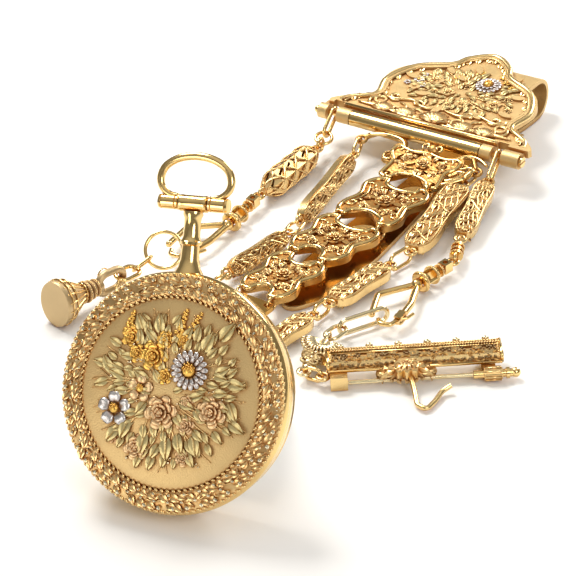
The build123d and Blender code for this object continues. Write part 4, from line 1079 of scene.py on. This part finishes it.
def dressBar(row):
    base, length = spanning(*row["ends"])
    low, high, half = barWork["inset"], length - barWork["inset"], row["width"] / 2
    shoulder, steps = barWork["shoulder"], barWork["steps"]
    runs = []

    def edge(x):                # half the bar's width at a distance along it
        share = min(x - low, high - x)
        if share < shoulder:
            return half * (0.42 + 0.58 * sin(pi / 2 * max(share, 0) / shoulder) ** 0.8)
        return half * (0.95 + 0.05 * cos(2 * pi * (x - low - shoulder) / (high - low - 2 * shoulder)))

    for face in (-1, 1):
        level = face * (row["thick"] / 2 + 0.12)
        for side in (-1, 1):    # rolled edges
            places = [low + (high - low) * number / 20 for number in range(21)]
            runs.append([(x, side * edge(x) * 0.9, level) for x in places])
        for strand in (-2, -1, 0, 1, 2):
            points = []
            for number in range(steps + 1):
                x = low + 0.5 + (high - low - 1.0) * number / steps
                swing = sin(2 * pi * row["waves"] * number / steps + strand * 0.9)
                points.append((x, edge(x) * (strand * 0.32 + 0.19 * swing), level + face * 0.08))
            runs.append(points)
        crossings = int(row["waves"] * 1.4)
        for number in range(crossings):
            x = low + (high - low) * (number + 0.7) / (crossings + 0.4)
            lean = 1 if number % 2 else -1
            ends = [(x - 2.0 * lean, -edge(x) * 0.85), (x - 0.4 * lean, -0.3), (x + 0.4 * lean, 0.3),
                    (x + 2.0 * lean, edge(x) * 0.85)]
            runs.append(through([(min(max(a, low), high), b, level + face * 0.2) for a, b in ends], 3))
    waves = join([wires(runs, barWork["wire"], 1, tips=0.6)], row["name"] + "Waves")
    finishPiece(waves, "satinGold", base)
    sprigs = []
    for face in (-1, 1):
        for number in range(barWork["sprigs"]):
            x = low + 1.2 + (high - low - 4.5) * number / (barWork["sprigs"] - 1)
            side = 1 if number % 2 else -1
            sprigs.append(dict(x=x, y=half * 0.35 * side, size=2.9, angle=18 * side,
                               z=face * (row["thick"] / 2 + 0.05), tall=1.5))
    finishPiece(join([scatter("leaf", sprigs)], row["name"] + "Leaves"), "chasedGold", base)


spindle = dict(ends=((-24.4, -9.6, 3.5), (-24.9, -34.4, 3.25)), strands=5, turns=0.9, steps=32, wire=0.24)
swivels = dict(left=((-24.9, -34.4, 3.25), (-24.6, -47.8, 2.6)),
               right=((28.2, -37.6, 2.6), (25.8, -49.6, 2.6)),
               joint=((24.9, -29.6, 2.6), (28.2, -37.6, 2.6)))
seal = dict(ends=((-32.6, -79.6, 3.4), (-36.6, -98.0, 5.37), (0.1, 0, 1)), flutes=16, wire=0.26, flat=0.88,
            bell=((0.0, 2.0), (0.18, 2.3), (0.45, 3.6), (0.72, 4.9), (0.92, 5.3)), neck=10.3, curl=2.95)


def dressSpindle():
    base, length = spanning(*spindle["ends"])
    strands, steps = spindle["strands"], spindle["steps"]
    stations = [(1.7, 0.9), (2.6, 1.5), (5.6, 3.2), (length - 5.6, 3.2), (length - 2.6, 1.5),
                (length - 1.7, 0.9)]

    def reach(x):
        for (x0, r0), (x1, r1) in zip(stations, stations[1:]):
            if x <= x1:
                return r0 + (r1 - r0) * (x - x0) / (x1 - x0)
        return stations[-1][1]

    runs = []
    for hand in (-1, 1):
        for number in range(strands):
            points = []
            for step in range(steps + 1):
                x = 1.9 + (length - 3.8) * step / steps
                angle = 2 * pi * number / strands + hand * 2 * pi * spindle["turns"] * step / steps
                out = reach(x) * 0.95 + 0.1
                points.append((x, out * cos(angle), out * sin(angle)))
            runs.append(points)
    finishPiece(join([wires(runs, spindle["wire"], 1)], "spindleWires"), "satinGold", base)


def dressRopes():
    grains = []
    for base, length in (spanning(*swivels["left"]), spanning(*swivels["right"])):
        grains += ropeRing(base, 5.3, 1.35, 18, 0.38)
        grains += ropeRing(base, length - 5.0 + 0.45, 2.0, 26, 0.42)
        grains += ropeRing(base, length - 0.95, 2.3, 30, 0.4)
    joint = spanning(*swivels["joint"])[0]
    for x in (3.05, 4.85, 6.45):
        grains += ropeRing(joint, x, 1.42, 20, 0.34)
    stirrup = spanning(*seal["ends"])[0]
    for x, radius in ((7.3, 1.9), (8.8, 2.1), (10.2, 2.4)):
        grains += ropeRing(stirrup, x, radius, 28, 0.34)
    finishPiece(join(grains, "collarRopes"), "satinGold")


def dressSeal():
    base, length = spanning(*seal["ends"])
    flat, neck = seal["flat"], seal["neck"]
    runs = []
    for number in range(seal["flutes"]):
        angle = 2 * pi * number / seal["flutes"]
        points = []
        for share, radius in seal["bell"]:
            x = neck + share * (length - neck)
            points.append((x, radius * flat * cos(angle), radius * sin(angle)))
        runs.append(through(points, 4))
    for x, radius in ((length - 1.6, 5.3), (length - 3.2, 4.75), (11.2, 2.35)):
        ring = []
        for number in range(37):
            angle = 2 * pi * number / 36
            ring.append((x, radius * flat * cos(angle), radius * sin(angle)))
        runs.append(ring)
    for side in (-1, 1):        # curls on the stirrup
        for face in (-1, 1):
            curl = scroll(2.4, 0, 1.7, 90, 320 * side, 0.0)
            runs.append([(x, face * seal["curl"], y) for x, y, level in curl])
    flutes = join([wires(runs, seal["wire"], 1, tips=0.5)], "sealFlutes")
    finishPiece(flutes, "polishedGold", base)


# The shell fob, in its link's frame
shell = dict(ends=((19.6, -76.6, 2.3), (21.9, -91.0, 2.2), (0.1, -0.1, 1)), ribs=15, root=3.0, edge=4.5,
             wire=0.33, rib=((0.6, 0.5), (1.8, 1.1), (3.2, 1.2), (4.3, 0.7)))


def dressShell():
    base = spanning(*shell["ends"])[0]
    root = shell["root"]
    runs, beads = [], []
    for number in range(shell["ribs"]):
        angle = radians(-84 + 12 * number)
        points = []
        for reach, level in shell["rib"]:
            points.append((root + reach * cos(angle), reach * sin(angle), level))
        runs.append(through(points, 3))
        beads.append(dict(x=root + shell["edge"] * cos(angle), y=shell["edge"] * sin(angle), z=0.6,
                          size=0.5))
    ribs = join([wires(runs, shell["wire"], 2, tips=0.6), scatter("bead", beads)], "shellRibs")
    finishPiece(ribs, "paleGold", base)
    curls = []
    for side in (-1, 1):
        curls.append(scroll(8.8, side * 1.2, 1.3, 90 * side, 330 * side, 1.0))
        curls.append(scroll(10.9, side * 1.1, 1.2, -90 * side, 330 * side, 1.0))
    leaves = []
    for number in range(9):
        leaves.append(dict(x=8.6 + 0.2 * number, y=0, size=2.4, angle=-120 + 30 * number, z=0.7, tall=1.8,
                           lean=8))
    ornament = join([wires(curls, 0.3, 2, tips=0.5), scatter("leaf", leaves)], "shellOrnament")
    finishPiece(ornament, "granulatedGold", base)


# The bar brooch, in its own frame: X along the bar, Y towards its back
brooch = dict(place=(40.1, -76.2, 0), turn=35.0, half=18.4, depth=6.2, top=5.0, low=3.0, ropeGrains=62,
              grains=420, sprigs=9, claws=6, catch=(-5.0, 1.5), catchRadius=1.4, middle=-1.9, frameWire=0.42,
              eyelet=[(0.42, -0.5), (0.72, -0.5), (0.86, 0.3), (0.82, 0.55), (0.55, 0.6), (0.42, 0.3)])


def dressBrooch():
    angle = radians(brooch["turn"])
    base = turnedTo(at(*brooch["place"]), (cos(angle), sin(angle), 0), (0, 0, 1))
    half, depth, top, low = brooch["half"], brooch["depth"] / 2, brooch["top"], brooch["low"]
    grains = []
    for y in (1.15, 1.85):              # the rope strip along the back of the field
        for number in range(brooch["ropeGrains"]):
            x = -half + 1.2 + (2 * half - 2.4) * number / (brooch["ropeGrains"] - 1)
            grains.append(dict(x=x, y=y, z=top + 0.34, size=0.44, angle=48 if y < 1.5 else 132))
    for x in (-half + 0.9, half - 0.9):
        for number in range(7):
            y = -depth + 1.0 + (depth + 0.6) * number / 6
            grains.append(dict(x=x, y=y, z=top + 0.02, size=0.42, angle=130))
    finishPiece(join([scatter("grain", grains)], "broochRope"), "satinGold", base)
    strips = []
    for y, level, wire in ((1.5, top - 0.05, brooch["frameWire"]), (0.62, top + 0.02, 0.24),
                           (2.35, top + 0.02, 0.26), (-depth - 0.1, low + 0.35, 0.5)):
        strips.append(wires([[(-half + 0.3, y, level), (half - 0.3, y, level)]], wire, 2))
    for side in (-1, 1):                # mitred ends, over the top and down the front
        x = side * (half - 0.35)
        end = [(x, depth - 0.6, top), (x, -depth + 0.5, top), (x, -depth, top - 0.4), (x, -depth, low + 0.2)]
        strips.append(wires([end], brooch["frameWire"], 2))
    finishPiece(join(strips, "broochFrame"), "polishedGold", base)
    ground = []
    for number in range(brooch["grains"]):
        x, y, z = dice.uniform(-half + 0.9, half - 0.9), dice.uniform(-depth + 0.5, 0.5), top - 0.1
        if number % 2:
            y, z = -depth + 0.02, dice.uniform(low + 0.6, top - 0.3)
        ground.append(dict(x=x, y=y, z=z, size=dice.uniform(0.18, 0.30)))
    finishPiece(join([scatter("bead", ground)], "broochGrains"), "umberGold", base)
    leaves, flowers = [], []
    for number in range(brooch["sprigs"]):      # on the sloping field: Z out of the bar's upper front edge
        x = -half + 3.0 + (2 * half - 6.0) * number / (brooch["sprigs"] - 1)
        flowers.append(dict(x=x, y=0.3 * (1 if number % 2 else -1), z=-0.3, size=1.05, angle=20 * number,
                            tall=0.8))
        for way in (25, 155, -25, -155):
            leaves.append(dict(x=x + 0.7 * cos(radians(way)), y=0.5 * sin(radians(way)), z=-0.35, size=2.0,
                               angle=way, tall=1.4, lean=-8, wide=1.3))
    slope = base @ Matrix.Translation((0, (-depth + 0.25) * mm, (top - 0.25) * mm))
    slope = slope @ Matrix.Rotation(radians(42), 4, "X")
    field = join([scatter("rose", flowers), scatter("leaf", leaves)], "broochFlowers")
    finishPiece(field, "deepGold", slope)
    claws = []
    for number in range(brooch["claws"]):
        x = -half + 3.2 + number * (2 * half - 6.4) / (brooch["claws"] - 1)
        claws.append(dict(x=x, y=depth - 0.25, z=top + 0.3, size=0.85, tall=0.55, wide=0.7))
    finishPiece(join([scatter("bead", claws)], "broochClaws"), "paleGold", base)
    ribs = []
    for number in range(8):             # the catch tube's lengthwise ribs
        angle = 2 * pi * number / 8
        y = brooch["catch"][0] + brooch["catchRadius"] * cos(angle)
        z = brooch["catch"][1] + brooch["catchRadius"] * sin(angle)
        if z > 0.3:
            ribs.append([(half - 4.1, y, z), (half - 0.7, y, z)])
    finishPiece(join([wires(ribs, 0.26, 2, tips=0.8)], "catchRibs"), "satinGold", base)
    middle = brooch["middle"]
    eyelets = []
    for side in (-1, 1):                # two deep round eyes in the leaf ornament
        eyelet = turn(brooch["eyelet"], 20)
        spot = Matrix.Translation(((middle + 1.75 * side) * mm, -4.1 * mm, 4.35 * mm))
        eyelet.data.transform(spot @ Matrix.Rotation(radians(48), 4, "X"))
        eyelets.append(eyelet)
    finishPiece(join(eyelets, "broochEyelets"), "satinGold", base)
    fan = []
    for number in range(9):
        way = -172 + 20.5 * number
        size = 5.4 if number in (0, 1, 7, 8) else 4.2
        fan.append(dict(x=middle + 1.2 * cos(radians(way)), y=-2.7, z=3.2, size=size, angle=way, tall=2.0,
                        lean=-12, wide=1.25))
    for number in range(7):
        way = -165 + 25 * number
        fan.append(dict(x=middle, y=-2.8, z=4.2, size=3.6, angle=way, tall=1.8, lean=-8, wide=1.2))
    curls = []
    for side in (-1, 1):
        curls.append(scroll(middle + side * 5.2, -4.0, 1.3, 90, 330 * side, 2.9))
        stem = [(middle, -3.6, 3.3), (middle + side * 3.0, -5.4, 2.8), (middle + side * 6.2, -4.6, 2.6)]
        curls.append(through(stem))
    parts = [scatter("leaf", fan), scatter("rose", rows("-1.9 -3.4 1.7 10", 4.2)),
             wires(curls, 0.3, 2, tips=0.5)]
    finishPiece(join(parts, "broochLeafOrnament"), "chasedGold", base)
    print("brooch dressed")


# The finish of each CAD node that stays
nodeFinish = dict(
    watch_glass="clearGlass", watch_dial="whiteEnamel", watch_rest="restBlock", pale_link="paleGold",
    pale_small_link="paleGold", brooch_pin="paleGold", brooch_bar="satinGold", shell_fob="paleGold",
    drop_hook="brownGold", hook_plate="stippledGold", plaque_1="deepGold", plaque_2="deepGold",
    plaque_3="deepGold", plaque_4="deepGold", seal="matteGold", spindle_link="satinGold",
    leaf_link="satinGold",
)


def dressNodes():
    for name, node in frame["nodes"].items():
        usual = "satinGold" if name.startswith("inner") and "link" in name else "polishedGold"
        finish = nodeFinish.get(name, usual)
        node.data.materials.clear()
        node.data.materials.append(shaders[finish])


def buildFloor():
    deselect()
    bpy.ops.mesh.primitive_plane_add(size=3.0, location=(0, 0, -0.0002))
    floor = bpy.context.object
    floor.name = "floor"
    floor.data.materials.append(shaders["paleFloor"])


def build():
    for name, row in finishes.items():
        buildGold(name, row)
    buildPlain("whiteEnamel", (0.90, 0.89, 0.85), 0.14, 400.0)
    buildPlain("darkEnamel", (0.03, 0.03, 0.035), 0.25, 400.0)
    buildPlain("restBlock", (0.82, 0.81, 0.78), 0.55, 300.0)
    buildPlain("paleFloor", (0.93, 0.925, 0.915), 0.75, 6.0)
    buildGlass()
    buildCamera()
    buildLight()
    buildFloor()
    dressNodes()
    print("camera, light and finishes set")
    buildStock()
    buildWatch()
    buildPlate()
    dressTongue()
    dressFirstPlaque()
    for name, row in plaques.items():
        dressPlaque(name, row)
    print("plaques dressed")
    for row in bars:
        dressBar(row)
    dressSpindle()
    dressRopes()
    dressSeal()
    dressShell()
    print("chains dressed")
    dressBrooch()
    drop(*stock.values())
    deselect()


build()
